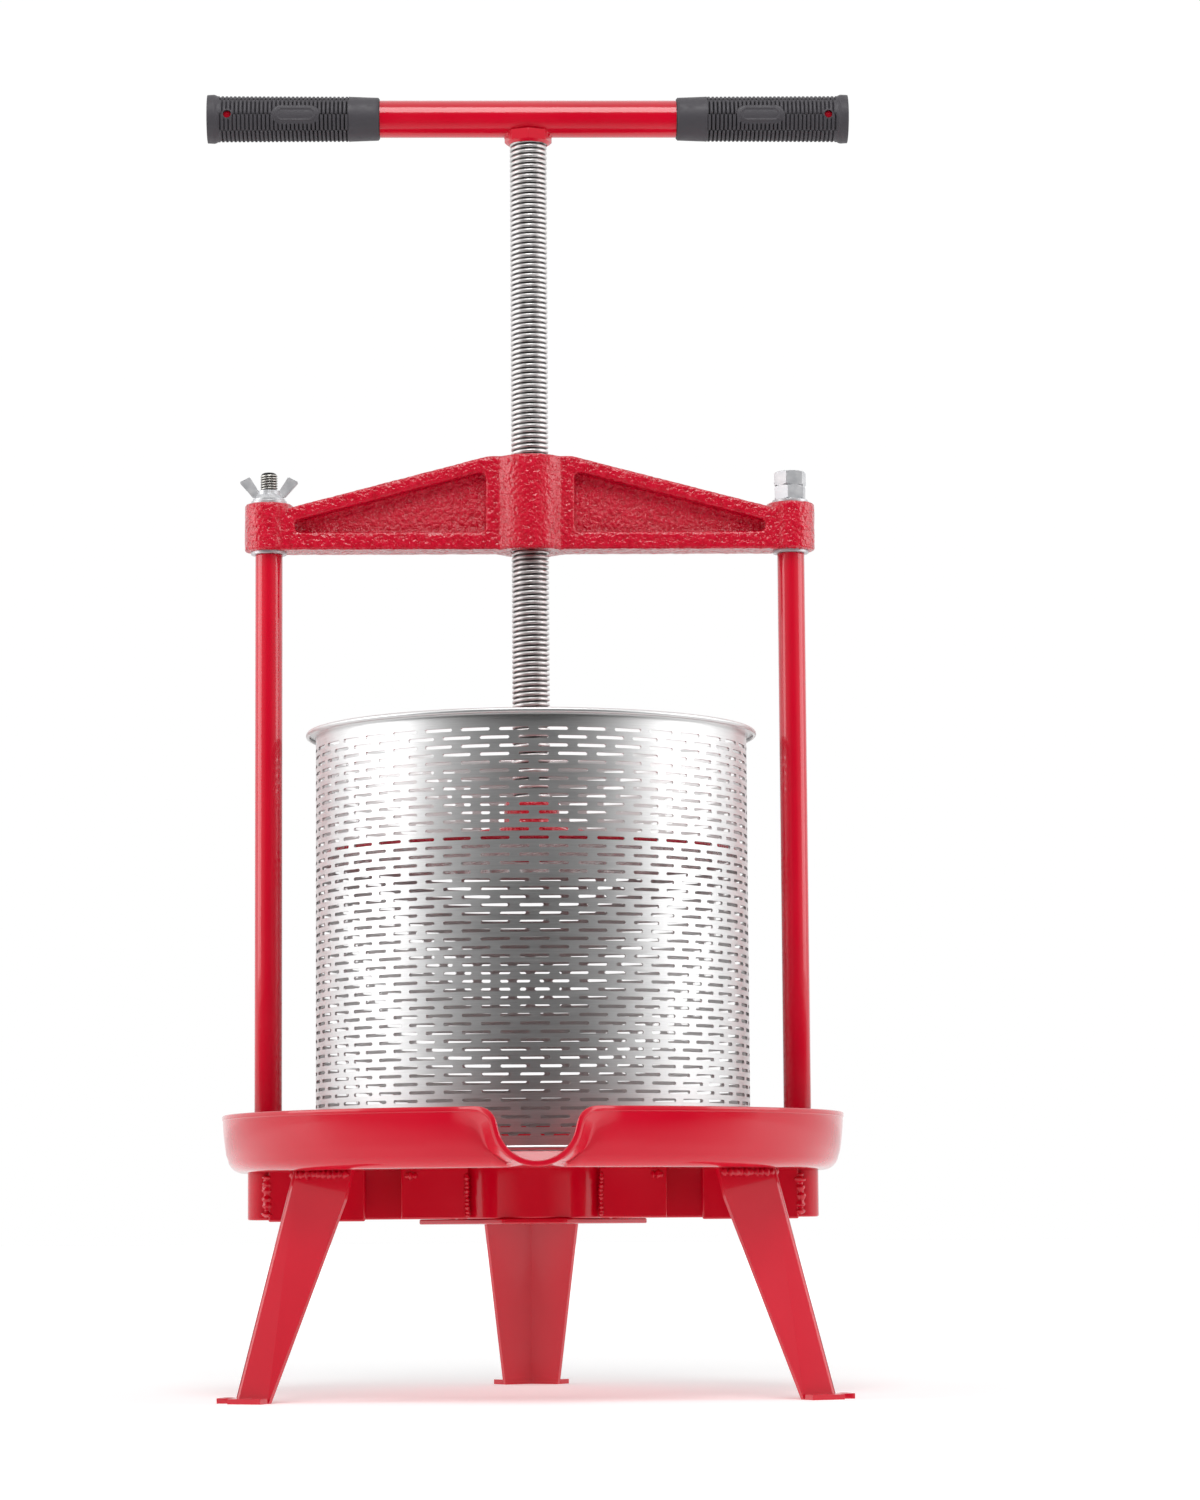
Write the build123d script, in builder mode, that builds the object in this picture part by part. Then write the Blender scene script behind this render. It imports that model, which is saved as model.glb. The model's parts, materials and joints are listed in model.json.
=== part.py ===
from build123d import *
from math import cos, radians, sin, sqrt
import os

# Basket wine press, in millimetres. The origin is on the screw's axis at floor level, +Z is up and the
# spout points along -Y. Left and right are as seen from the spout side, so left is -X.

os.makedirs("parts", exist_ok=True)

# ---------------------------------------------------------------- driving dimensions
SIDES = {"left": -1, "right": 1}
RUNNING = 0.08  # radial clearance of a shaft that turns or slides in its hole
SEATED = 0.05  # radial clearance of pieces that are fixed together

# drip tray: pressed sheet with a raised centre, a leaning wall and a pouring spout
TRAY_SHEET = 2.5
TRAY_BOTTOM_Z = 129.5
TRAY_LIP_Z = 160.9
TRAY_LIP_R = 179.7
TRAY_CORNER_R = 175.5  # where the wall's outside would meet the flat underside
TRAY_CORNER_FILLET = 7
PLATEAU_Z = 138
PLATEAU_R = 130.5
PLATEAU_RAMP = 4
PLATEAU_UNDER_INSET = 1  # the raised centre's underside is this much smaller than its top
SPOUT_R = 24.7  # middle of the spout's sheet
SPOUT_SHEET = 3
SPOUT_FLOOR_Z = 129.2
SPOUT_SWEEP = 85  # degrees of the trough's arc on each side of its lowest line
SPOUT_BACK_Y = -163
SPOUT_FRONT_Y = -196
SPOUT_TONGUE_HALF_WIDTH = 34
SPOUT_LIP_OVERLAP = 4  # how far the flared lip runs into the wall beyond the tongue
SPOUT_TRIM_MARGIN = 10

# base frame under the tray
FRAME_BOTTOM_Z = 101
HUB_TUBE_R = 44.5
HUB_TUBE_WALL = 3.2
BAR_THICKNESS = 6
BAR_STEP_CLEARANCE = 2  # from the bar's step to the ramp of the tray's raised centre
SOCKET_R = 11.75
SOCKET_BOTTOM_Z = 101
DOUBLER_THICKNESS = 3
DOUBLER_INNER_X = 97
DOUBLER_END_X = 152.5  # about the middle of the post socket, whose front it is welded across
DOUBLER_LAP = 1  # how far it reaches below the socket
GUSSET_THICKNESS = 3
GUSSET_END_X = 76
GUSSET_FRONT_Y = -28
GUSSET_GAP = 3  # from the hub tube's wall to the gusset's inner edge
BASE_PLATE_THICKNESS = 3
BASE_PLATE_FRONT_HALF = 18
BASE_PLATE_MIDDLE_HALF = 67
BASE_PLATE_MIDDLE_Y = 30
BASE_PLATE_BACK_HALF = 24
BASE_PLATE_CORNER = 4

# legs: bent sheet with the fold outwards, tapered towards the floor
LEG_ANGLES = {"leg_front_left": 210, "leg_front_right": 330, "leg_rear": 90}
LEG_SHEET = 3
LEG_FOLD_R_TOP = 156.2
LEG_FOLD_R_FLOOR = 193
LEG_FLANGE_ANGLE = 55  # between each flange and the inward radius
LEG_WIDTH_TOP = 37
LEG_WIDTH_FLOOR = 21.4
LEG_TAPER_START_Z = 112
LEG_FOLD_FILLET = 3.5
LEG_MARGIN = 8  # the flanges are drawn this much too long and trimmed level at the floor and the tray
REAR_LEG_GAP = 7  # from the rear leg's flange ends to the base plate
FOOT_LENGTH = 10
FOOT_CORNER = 5
FOOT_INSET = 1  # from the fold to the foot's start
FOOT_HOLE_R = 2.75

# posts, with a threaded stud above a shoulder
POST_X = 153.4
POST_R = 8
POST_BOTTOM_Z = 103
SHOULDER_Z = 489.3
STUD_R = 5
STUD_TOP_Z = 538
POST_CHAMFER = 1
SHOULDER_CHAMFER = 0.6

# cross head
HEAD_BOTTOM_Z = 491
BOSS_R = 14
BOSS_TOP_Z = 519
HUB_R = 21
HUB_BOTTOM_Z = 490.5
HUB_TOP_Z = 546
ARM_THICKNESS = 23
ARM_SLOPE_START_X = 24.7
ARM_END_X = 146
ARM_SLOPE = 0.261
POCKET_DEPTH = 7.5
POCKET_INNER_X = 26
POCKET_OUTER_X = 138
POCKET_BOTTOM_Z = 501
POCKET_BAND = 8.3
POCKET_CORNER = 3
STUD_HOLE_R = 5.5

# fasteners
WASHER_R = 10.5
WASHER_PLAY = 0.25
UPPER_WASHER_TOP_Z = 521
NUT_HEIGHT = 8.4
NUT_ACROSS_FLATS = 17
NUT_CHAMFER_RUN = 2  # the double cone that turns the hexagon's corners
NUT_CHAMFER_RISE = 1.15
LOWER_NUT_TURN = 18.5  # degrees that each nut is turned when tight
UPPER_NUT_TURN = 13
WING_SPAN = 34.8
WING_THICKNESS = 3.2
WING_FOOT = (9.6, 2.6)  # wing corners: distance from the stud's axis and height over the washer
WING_TIP_HEIGHT = 11.4
WING_CROWN = (11.3, 14.6)
WING_NECK = (6.2, 6.4)
WING_ROOT_X = 5.6
WING_CORNER = 0.8
WING_HUB_BASE_R = 9.5
WING_HUB_BASE_HEIGHT = 1.2
WING_HUB_WAIST = (6.8, 3.6)
WING_HUB_TOP = (6.5, 6.3)

# basket
BASKET_R = 125.8
BASKET_SHEET = 1.2
BASKET_TOP_Z = 383.5
RIM_R = 131.7
RIM_HEIGHT = 4
BEAD_R = 126.6
BEAD_HEIGHT = 3
BEAD_CHAMFER = 0.6
RIM_CHAMFER = 0.5
RIM_ROLL = 2  # width of the rim's rounded top edges

# pressing plate
PLATE_R = 120
PLATE_Z = 309
PLATE_THICKNESS = 5
PLATE_BOSS_R = 16
PLATE_BOSS_TOP_Z = 343
RIB_COUNT = 6
RIB_THICKNESS = 5
RIB_END_R = 78
RIB_END_HEIGHT = 1
RIB_TOP_Z = 330
RIB_ROOT = 2  # how far the ribs run into the boss and the disc
PLATE_EDGE = 0.8
RECESS_R = 12.5
RECESS_TOP_Z = 317
SHOULDER_LEDGE_Z = 321

# screw and handle
SCREW_R = 11
SPIGOT_R = 6
SPIGOT_PLAY = 0.3  # the plate's play between the screw's shoulder and the retaining washer
RETAINER_R = 11
RETAINER_THICKNESS = 2
RETAINER_PLAY = 0.2
SCREW_CHAMFER = 1
BOLT_HEAD_ACROSS_FLATS = 13
BOLT_HEAD_HEIGHT = 5.3
BOLT_R = 4
BOLT_LENGTH = 20
BOLT_TIP_GAP = 1  # from the bolt's end to the bottom of its hole
TUBE_R = 11
TUBE_WALL = 2
HANDLE_Z = 751
COLLAR_R = 14
COLLAR_BOTTOM_Z = 735
COLLAR_TOP_Z = 742.5
COLLAR_SIDES = 8
COLLAR_CHAMFER = 1.5
GRIP_INNER_X = 88
GRIP_OUTER_X = 190
GRIP_COLLAR_LENGTH = 18
GRIP_COLLAR_R = 12.6
GRIP_BODY_R = 13.3
GRIP_FLANGE_R = 14.5
GRIP_FLANGE_LENGTH = 6
GRIP_TAPER = 0.3
GRIP_EDGE = 1
GRIP_CAP = 3.5
GRIP_HOLE_R = 2.4
GRIP_HOLE_INSET = 12

TRAY_FLOOR_Z = TRAY_BOTTOM_Z + TRAY_SHEET
PLATEAU_UNDER_Z = PLATEAU_Z - TRAY_SHEET


# ---------------------------------------------------------------- drip tray
# The trough's section: an arc under the juice, then a small arc each side that turns out to the lip.
spout_centre_z = SPOUT_FLOOR_Z + SPOUT_R
trough_x = SPOUT_R * sin(radians(SPOUT_SWEEP))
trough_z = spout_centre_z - SPOUT_R * cos(radians(SPOUT_SWEEP))
flare_top_z = TRAY_LIP_Z - SPOUT_SHEET / 2
flare_r = (flare_top_z - trough_z) / (1 - cos(radians(SPOUT_SWEEP)))
flare_x = trough_x + flare_r * sin(radians(SPOUT_SWEEP))
flare_mid_angle = radians(SPOUT_SWEEP / 2)
flare_mid = (
    flare_x - flare_r * sin(flare_mid_angle),
    flare_top_z - flare_r * (1 - cos(flare_mid_angle)),
)
lip_reach_x = SPOUT_TONGUE_HALF_WIDTH + SPOUT_LIP_OVERLAP


def spout_line():
    """The middle line of the spout's sheet, from the lip on one side to the lip on the other."""
    ThreePointArc((-trough_x, trough_z), (0, SPOUT_FLOOR_Z), (trough_x, trough_z))
    for side in (-1, 1):
        ThreePointArc(
            (side * trough_x, trough_z),
            (side * flare_mid[0], flare_mid[1]),
            (side * flare_x, flare_top_z),
        )
        Line((side * flare_x, flare_top_z), (side * lip_reach_x, flare_top_z))


with BuildPart() as spout_trough:
    with BuildSketch(Plane.XZ.offset(-SPOUT_BACK_Y)):
        with BuildLine() as trough_path:
            spout_line()
        trace(line_width=SPOUT_SHEET)
    extrude(amount=SPOUT_BACK_Y - SPOUT_FRONT_Y)
    # the tongue is longest at its lowest line and runs out into the lip at its sides
    with BuildSketch(Plane.XY.offset(TRAY_BOTTOM_Z - SPOUT_TRIM_MARGIN)):
        with Locations((0, -TRAY_CORNER_R)):
            Ellipse(SPOUT_TONGUE_HALF_WIDTH, -SPOUT_FRONT_Y - TRAY_CORNER_R)
        with Locations((0, SPOUT_BACK_Y)):
            Rectangle(
                2 * SPOUT_TONGUE_HALF_WIDTH,
                2 * (SPOUT_BACK_Y + TRAY_CORNER_R),
                align=(Align.CENTER, Align.CENTER),
            )
    extrude(amount=TRAY_LIP_Z - TRAY_BOTTOM_Z + 2 * SPOUT_TRIM_MARGIN, mode=Mode.INTERSECT)

with BuildPart() as drip_tray:
    with BuildSketch(Plane.XZ):
        with BuildLine():
            Polyline(
                (0, PLATEAU_Z),
                (PLATEAU_R - PLATEAU_RAMP, PLATEAU_Z),
                (PLATEAU_R, TRAY_FLOOR_Z),
                (TRAY_CORNER_R - TRAY_SHEET, TRAY_FLOOR_Z),
                (TRAY_LIP_R - TRAY_SHEET, TRAY_LIP_Z),
                (TRAY_LIP_R, TRAY_LIP_Z),
                (TRAY_CORNER_R, TRAY_BOTTOM_Z),
                (PLATEAU_R - PLATEAU_UNDER_INSET, TRAY_BOTTOM_Z),
                (PLATEAU_R - PLATEAU_RAMP - PLATEAU_UNDER_INSET, PLATEAU_UNDER_Z),
                (0, PLATEAU_UNDER_Z),
                close=True,
            )
        make_face()
        outer_corner = (TRAY_CORNER_R, TRAY_BOTTOM_Z)
        fillet(vertices().sort_by_distance(outer_corner)[0], TRAY_CORNER_FILLET)
        inner_corner = (TRAY_CORNER_R - TRAY_SHEET, TRAY_FLOOR_Z)
        fillet(vertices().sort_by_distance(inner_corner)[0], TRAY_CORNER_FILLET - TRAY_SHEET)
    revolve(axis=Axis.Z)
    with BuildSketch(Plane.XY.offset(TRAY_BOTTOM_Z)):
        with Locations((-POST_X, 0), (POST_X, 0)):
            Circle(POST_R + SEATED)
    extrude(amount=TRAY_SHEET, mode=Mode.SUBTRACT)
    # the gap in the wall that the spout fills
    with BuildSketch(Plane.XZ.offset(-SPOUT_BACK_Y)):
        with BuildLine():
            spout_line()
            Polyline(
                (lip_reach_x, flare_top_z),
                (lip_reach_x, TRAY_LIP_Z + SPOUT_TRIM_MARGIN),
                (-lip_reach_x, TRAY_LIP_Z + SPOUT_TRIM_MARGIN),
                (-lip_reach_x, flare_top_z),
            )
        make_face()
    extrude(amount=SPOUT_BACK_Y - SPOUT_FRONT_Y, mode=Mode.SUBTRACT)
    add(spout_trough.part)
drip_tray.part.label = "drip_tray"
export_step(drip_tray.part, "parts/drip_tray.step")

# ---------------------------------------------------------------- base frame under the tray
with BuildPart() as hub_tube:
    with BuildSketch(Plane.XY.offset(FRAME_BOTTOM_Z)):
        Circle(HUB_TUBE_R)
        Circle(HUB_TUBE_R - HUB_TUBE_WALL, mode=Mode.SUBTRACT)
    extrude(amount=PLATEAU_UNDER_Z - FRAME_BOTTOM_Z)
hub_tube.part.label = "hub_tube"
export_step(hub_tube.part, "parts/hub_tube.step")

for side, sign in SIDES.items():
    # a flat bar from the hub tube to the post socket, stepped where the tray's centre is raised
    bar_start_x = sign * (HUB_TUBE_R + SEATED)
    bar_end_x = sign * (POST_X - SOCKET_R - SEATED)
    bar_step_x = sign * (PLATEAU_R - PLATEAU_RAMP - BAR_STEP_CLEARANCE)
    with BuildPart() as cross_bar:
        with BuildSketch(Plane.XZ.offset(-BAR_THICKNESS / 2)):
            with BuildLine():
                Polyline(
                    (bar_start_x, FRAME_BOTTOM_Z),
                    (bar_end_x, FRAME_BOTTOM_Z),
                    (bar_end_x, TRAY_BOTTOM_Z),
                    (bar_step_x, TRAY_BOTTOM_Z),
                    (bar_step_x, PLATEAU_UNDER_Z),
                    (bar_start_x, PLATEAU_UNDER_Z),
                    close=True,
                )
            make_face()
        extrude(amount=BAR_THICKNESS)
    cross_bar.part.label = f"cross_bar_{side}"
    export_step(cross_bar.part, f"parts/cross_bar_{side}.step")

    # a flat wing welded to the hub tube's front
    gusset_start_x = sqrt(HUB_TUBE_R**2 - GUSSET_FRONT_Y**2) + GUSSET_GAP
    with BuildPart() as gusset:
        with BuildSketch(Plane.XZ.offset(-GUSSET_FRONT_Y - GUSSET_THICKNESS)):
            with Locations((sign * (gusset_start_x + GUSSET_END_X) / 2, FRAME_BOTTOM_Z)):
                Rectangle(
                    GUSSET_END_X - gusset_start_x,
                    PLATEAU_UNDER_Z - FRAME_BOTTOM_Z,
                    align=(Align.CENTER, Align.MIN),
                )
        extrude(amount=GUSSET_THICKNESS)
    gusset.part.label = f"gusset_{side}"
    export_step(gusset.part, f"parts/gusset_{side}.step")

    # a plate welded across the front of the socket
    with BuildPart() as doubler:
        with BuildSketch(Plane.XZ.offset(SOCKET_R + SEATED)):
            with Locations((sign * (DOUBLER_INNER_X + DOUBLER_END_X) / 2, SOCKET_BOTTOM_Z - DOUBLER_LAP)):
                Rectangle(
                    DOUBLER_END_X - DOUBLER_INNER_X,
                    TRAY_BOTTOM_Z - SOCKET_BOTTOM_Z + DOUBLER_LAP,
                    align=(Align.CENTER, Align.MIN),
                )
        extrude(amount=DOUBLER_THICKNESS)
    doubler.part.label = f"doubler_{side}"
    export_step(doubler.part, f"parts/doubler_{side}.step")

    # the tube that the post stands in
    with BuildPart() as post_socket:
        with BuildSketch(Plane.XY.offset(SOCKET_BOTTOM_Z)):
            with Locations((sign * POST_X, 0)):
                Circle(SOCKET_R)
                Circle(POST_R + SEATED, mode=Mode.SUBTRACT)
        extrude(amount=TRAY_BOTTOM_Z - SOCKET_BOTTOM_Z)
    post_socket.part.label = f"post_socket_{side}"
    export_step(post_socket.part, f"parts/post_socket_{side}.step")

    # the post: a bar with a shoulder and an M10 stud above it
    with BuildPart() as post:
        with BuildSketch(Plane.XZ):
            with BuildLine():
                Polyline(
                    (sign * POST_X, POST_BOTTOM_Z),
                    (sign * POST_X + POST_R - POST_CHAMFER, POST_BOTTOM_Z),
                    (sign * POST_X + POST_R, POST_BOTTOM_Z + POST_CHAMFER),
                    (sign * POST_X + POST_R, SHOULDER_Z - SHOULDER_CHAMFER),
                    (sign * POST_X + POST_R - SHOULDER_CHAMFER, SHOULDER_Z),
                    (sign * POST_X + STUD_R, SHOULDER_Z),
                    (sign * POST_X + STUD_R, STUD_TOP_Z - POST_CHAMFER),
                    (sign * POST_X + STUD_R - POST_CHAMFER, STUD_TOP_Z),
                    (sign * POST_X, STUD_TOP_Z),
                    close=True,
                )
            make_face()
        revolve(axis=Axis((sign * POST_X, 0, 0), (0, 0, 1)))
    post.part.label = f"post_{side}"
    export_step(post.part, f"parts/post_{side}.step")

# a flat gusset under the hub that runs back to the rear leg
base_plate_back_y = LEG_FOLD_R_TOP - LEG_WIDTH_TOP * cos(radians(LEG_FLANGE_ANGLE)) + REAR_LEG_GAP
with BuildPart() as base_plate:
    with BuildSketch(Plane.XY.offset(FRAME_BOTTOM_Z - BASE_PLATE_THICKNESS)):
        with BuildLine():
            Polyline(
                (-BASE_PLATE_FRONT_HALF, -HUB_TUBE_R),
                (BASE_PLATE_FRONT_HALF, -HUB_TUBE_R),
                (BASE_PLATE_MIDDLE_HALF, BASE_PLATE_MIDDLE_Y),
                (BASE_PLATE_BACK_HALF, base_plate_back_y),
                (-BASE_PLATE_BACK_HALF, base_plate_back_y),
                (-BASE_PLATE_MIDDLE_HALF, BASE_PLATE_MIDDLE_Y),
                close=True,
            )
        make_face()
        fillet(vertices(), BASE_PLATE_CORNER)
    extrude(amount=BASE_PLATE_THICKNESS)
base_plate.part.label = "base_plate"
export_step(base_plate.part, "parts/base_plate.step")


# ---------------------------------------------------------------- legs
def fold_r(height):
    """The fold's distance from the press's axis at a height."""
    return LEG_FOLD_R_FLOOR - (LEG_FOLD_R_FLOOR - LEG_FOLD_R_TOP) * height / TRAY_BOTTOM_Z


# Each leg is drawn standing out along +X and turned to its place.
flange_cos = cos(radians(LEG_FLANGE_ANGLE))
flange_sin = sin(radians(LEG_FLANGE_ANGLE))
fold_slope = (LEG_FOLD_R_FLOOR - LEG_FOLD_R_TOP) / TRAY_BOTTOM_Z
with BuildPart() as leg_shape:
    for side in (-1, 1):
        along = Vector(-flange_cos, side * flange_sin, 0)
        up_the_fold = Vector(-fold_slope, 0, 1)
        inward = along.cross(up_the_fold) * -side
        flange_plane = Plane(origin=(fold_r(0), 0, 0), x_dir=along, z_dir=inward)
        outline = [
            (-LEG_MARGIN, 0),
            (-LEG_MARGIN, LEG_WIDTH_FLOOR),
            (0, LEG_WIDTH_FLOOR),
            (LEG_TAPER_START_Z, LEG_WIDTH_TOP),
            (TRAY_BOTTOM_Z + LEG_MARGIN, LEG_WIDTH_TOP),
            (TRAY_BOTTOM_Z + LEG_MARGIN, 0),
        ]
        corners = [
            flange_plane.to_local_coords(Vector(fold_r(height), 0, height) + along * width)
            for height, width in outline
        ]
        with BuildSketch(flange_plane):
            with BuildLine():
                Polyline(*[(corner.X, corner.Y) for corner in corners], close=True)
            make_face()
        extrude(amount=LEG_SHEET)
    fold_edges = edges().filter_by(lambda edge: edge.length > TRAY_BOTTOM_Z)
    fillet(fold_edges.sort_by(Axis.X)[-1], LEG_FOLD_FILLET)
    split(bisect_by=Plane.XY.offset(TRAY_BOTTOM_Z), keep=Keep.BOTTOM)
    split(bisect_by=Plane.XY, keep=Keep.TOP)
    for side in (-1, 1):
        # a foot bent outward from each flange's lower end, with a hole for a screw
        foot_plane = Plane(
            origin=(LEG_FOLD_R_FLOOR, 0, 0),
            x_dir=(-flange_cos, side * flange_sin, 0),
            z_dir=(0, 0, 1),
        )
        with BuildSketch(foot_plane):
            with Locations(((LEG_WIDTH_FLOOR + FOOT_INSET) / 2, -side * (FOOT_LENGTH - LEG_SHEET) / 2)):
                Rectangle(LEG_WIDTH_FLOOR - FOOT_INSET, FOOT_LENGTH + LEG_SHEET)
            outer_corners = vertices().group_by(Axis(foot_plane.origin, foot_plane.y_dir))
            fillet(outer_corners[0 if side > 0 else -1], FOOT_CORNER)
            with Locations((LEG_WIDTH_FLOOR / 2, -side * FOOT_LENGTH / 2)):
                Circle(FOOT_HOLE_R, mode=Mode.SUBTRACT)
        extrude(amount=LEG_SHEET)

for name, angle in LEG_ANGLES.items():
    with BuildPart() as leg:
        with Locations(Location((0, 0, 0), (0, 0, angle))):
            add(leg_shape.part)
    leg.part.label = name
    export_step(leg.part, f"parts/{name}.step")

# ---------------------------------------------------------------- cross head
def arm_top_z(x):
    """The height of an arm's top edge at a distance from the screw's axis."""
    return HUB_TOP_Z - ARM_SLOPE * max(x - ARM_SLOPE_START_X, 0)


with BuildPart() as cross_head:
    with BuildSketch(Plane.XZ.offset(-ARM_THICKNESS / 2)):
        with BuildLine():
            Polyline(
                (-ARM_END_X, HEAD_BOTTOM_Z),
                (ARM_END_X, HEAD_BOTTOM_Z),
                (ARM_END_X, arm_top_z(ARM_END_X)),
                (ARM_SLOPE_START_X, HUB_TOP_Z),
                (-ARM_SLOPE_START_X, HUB_TOP_Z),
                (-ARM_END_X, arm_top_z(ARM_END_X)),
                close=True,
            )
        make_face()
    extrude(amount=ARM_THICKNESS)
    for face_plane in (Plane.XZ.offset(ARM_THICKNESS / 2), Plane.XZ.offset(-ARM_THICKNESS / 2)):
        depth = -POCKET_DEPTH if face_plane.origin.Y < 0 else POCKET_DEPTH
        for sign in SIDES.values():
            with BuildSketch(face_plane):
                with BuildLine():
                    Polyline(
                        (sign * POCKET_INNER_X, POCKET_BOTTOM_Z),
                        (sign * POCKET_OUTER_X, POCKET_BOTTOM_Z),
                        (sign * POCKET_OUTER_X, arm_top_z(POCKET_OUTER_X) - POCKET_BAND),
                        (sign * POCKET_INNER_X, arm_top_z(POCKET_INNER_X) - POCKET_BAND),
                        close=True,
                    )
                make_face()
                fillet(vertices(), POCKET_CORNER)
            extrude(amount=depth, mode=Mode.SUBTRACT)
    with BuildSketch(Plane.XY.offset(HUB_BOTTOM_Z)):
        Circle(HUB_R)
    extrude(amount=HUB_TOP_Z - HUB_BOTTOM_Z)
    with BuildSketch(Plane.XY.offset(HEAD_BOTTOM_Z)):
        with Locations((-POST_X, 0), (POST_X, 0)):
            Circle(BOSS_R)
    extrude(amount=BOSS_TOP_Z - HEAD_BOTTOM_Z)
    with BuildSketch(Plane.XY.offset(HUB_BOTTOM_Z)):
        Circle(SCREW_R + RUNNING)
    extrude(amount=HUB_TOP_Z - HUB_BOTTOM_Z, mode=Mode.SUBTRACT)
    with BuildSketch(Plane.XY.offset(HEAD_BOTTOM_Z)):
        with Locations((-POST_X, 0), (POST_X, 0)):
            Circle(STUD_HOLE_R)
        # the left hole is open at the back, so that this end can swing off its stud
        with Locations((-POST_X, BOSS_R / 2)):
            Rectangle(2 * STUD_HOLE_R, BOSS_R)
    extrude(amount=BOSS_TOP_Z - HEAD_BOTTOM_Z, mode=Mode.SUBTRACT)
cross_head.part.label = "cross_head"
export_step(cross_head.part, "parts/cross_head.step")

# ---------------------------------------------------------------- fasteners
for name, bottom_z, top_z in (
    ("lower_washers", SHOULDER_Z, HEAD_BOTTOM_Z),
    ("upper_washers", BOSS_TOP_Z, UPPER_WASHER_TOP_Z),
):
    with BuildPart() as washers:
        with BuildSketch(Plane.XY.offset(bottom_z)):
            with Locations((-POST_X, 0), (POST_X, 0)):
                Circle(WASHER_R)
                Circle(STUD_R + WASHER_PLAY, mode=Mode.SUBTRACT)
        extrude(amount=top_z - bottom_z)
    washers.part.label = name
    export_step(washers.part, f"parts/{name}.step")


def hex_nut(bottom_z, turn):
    """An M10 nut with turned corners, standing on the Z axis."""
    with BuildPart() as nut:
        with BuildSketch(Plane.XY.offset(bottom_z)):
            RegularPolygon(NUT_ACROSS_FLATS / 2, 6, major_radius=False, rotation=turn)
        extrude(amount=NUT_HEIGHT)
        # turned corners: the hexagon is cut by a double cone
        with BuildSketch(Plane.XZ):
            with BuildLine():
                Polyline(
                    (0, bottom_z),
                    (NUT_ACROSS_FLATS / 2, bottom_z),
                    (NUT_ACROSS_FLATS / 2 + NUT_CHAMFER_RUN, bottom_z + NUT_CHAMFER_RISE),
                    (NUT_ACROSS_FLATS / 2 + NUT_CHAMFER_RUN, bottom_z + NUT_HEIGHT - NUT_CHAMFER_RISE),
                    (NUT_ACROSS_FLATS / 2, bottom_z + NUT_HEIGHT),
                    (0, bottom_z + NUT_HEIGHT),
                    close=True,
                )
            make_face()
        revolve(axis=Axis.Z, mode=Mode.INTERSECT)
        with BuildSketch(Plane.XY.offset(bottom_z)):
            Circle(STUD_R + SEATED)
        extrude(amount=NUT_HEIGHT, mode=Mode.SUBTRACT)
    return nut.part


lower_nut = hex_nut(UPPER_WASHER_TOP_Z, LOWER_NUT_TURN)
upper_nut = hex_nut(UPPER_WASHER_TOP_Z + NUT_HEIGHT, UPPER_NUT_TURN)
hex_nuts = Compound(children=[Pos(POST_X, 0, 0) * lower_nut, Pos(POST_X, 0, 0) * upper_nut])
hex_nuts.label = "hex_nuts"
export_step(hex_nuts, "parts/hex_nuts.step")

with BuildPart() as wing_nut:
    with BuildSketch(Plane.XZ.offset(-WING_THICKNESS / 2)):
        for side in SIDES.values():
            wing = [
                (WING_ROOT_X, WING_FOOT[1]),
                WING_FOOT,
                (WING_SPAN / 2, WING_TIP_HEIGHT),
                WING_CROWN,
                WING_NECK,
                (WING_ROOT_X, WING_NECK[1]),
            ]
            with BuildLine():
                Polyline(*[(-POST_X + side * x, UPPER_WASHER_TOP_Z + z) for x, z in wing], close=True)
            make_face()
    extrude(amount=WING_THICKNESS)
    beyond_foot = WING_FOOT[0] + WING_CORNER
    tip_edges = edges().filter_by(Axis.Y).filter_by(lambda edge: abs(edge.center().X + POST_X) > beyond_foot)
    fillet(tip_edges, WING_CORNER)
    with BuildSketch(Plane.XZ):
        with BuildLine():
            Polyline(
                (-POST_X, UPPER_WASHER_TOP_Z),
                (-POST_X + WING_HUB_BASE_R, UPPER_WASHER_TOP_Z),
                (-POST_X + WING_HUB_BASE_R, UPPER_WASHER_TOP_Z + WING_HUB_BASE_HEIGHT),
                (-POST_X + WING_HUB_WAIST[0], UPPER_WASHER_TOP_Z + WING_HUB_WAIST[1]),
                (-POST_X + WING_HUB_TOP[0], UPPER_WASHER_TOP_Z + WING_HUB_TOP[1]),
                (-POST_X, UPPER_WASHER_TOP_Z + WING_HUB_TOP[1]),
                close=True,
            )
        make_face()
    revolve(axis=Axis((-POST_X, 0, 0), (0, 0, 1)))
    with BuildSketch(Plane.XY.offset(UPPER_WASHER_TOP_Z)):
        with Locations((-POST_X, 0)):
            Circle(STUD_R + RUNNING)
    extrude(amount=STUD_TOP_Z - UPPER_WASHER_TOP_Z, mode=Mode.SUBTRACT)
wing_nut.part.label = "wing_nut"
export_step(wing_nut.part, "parts/wing_nut.step")

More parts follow.
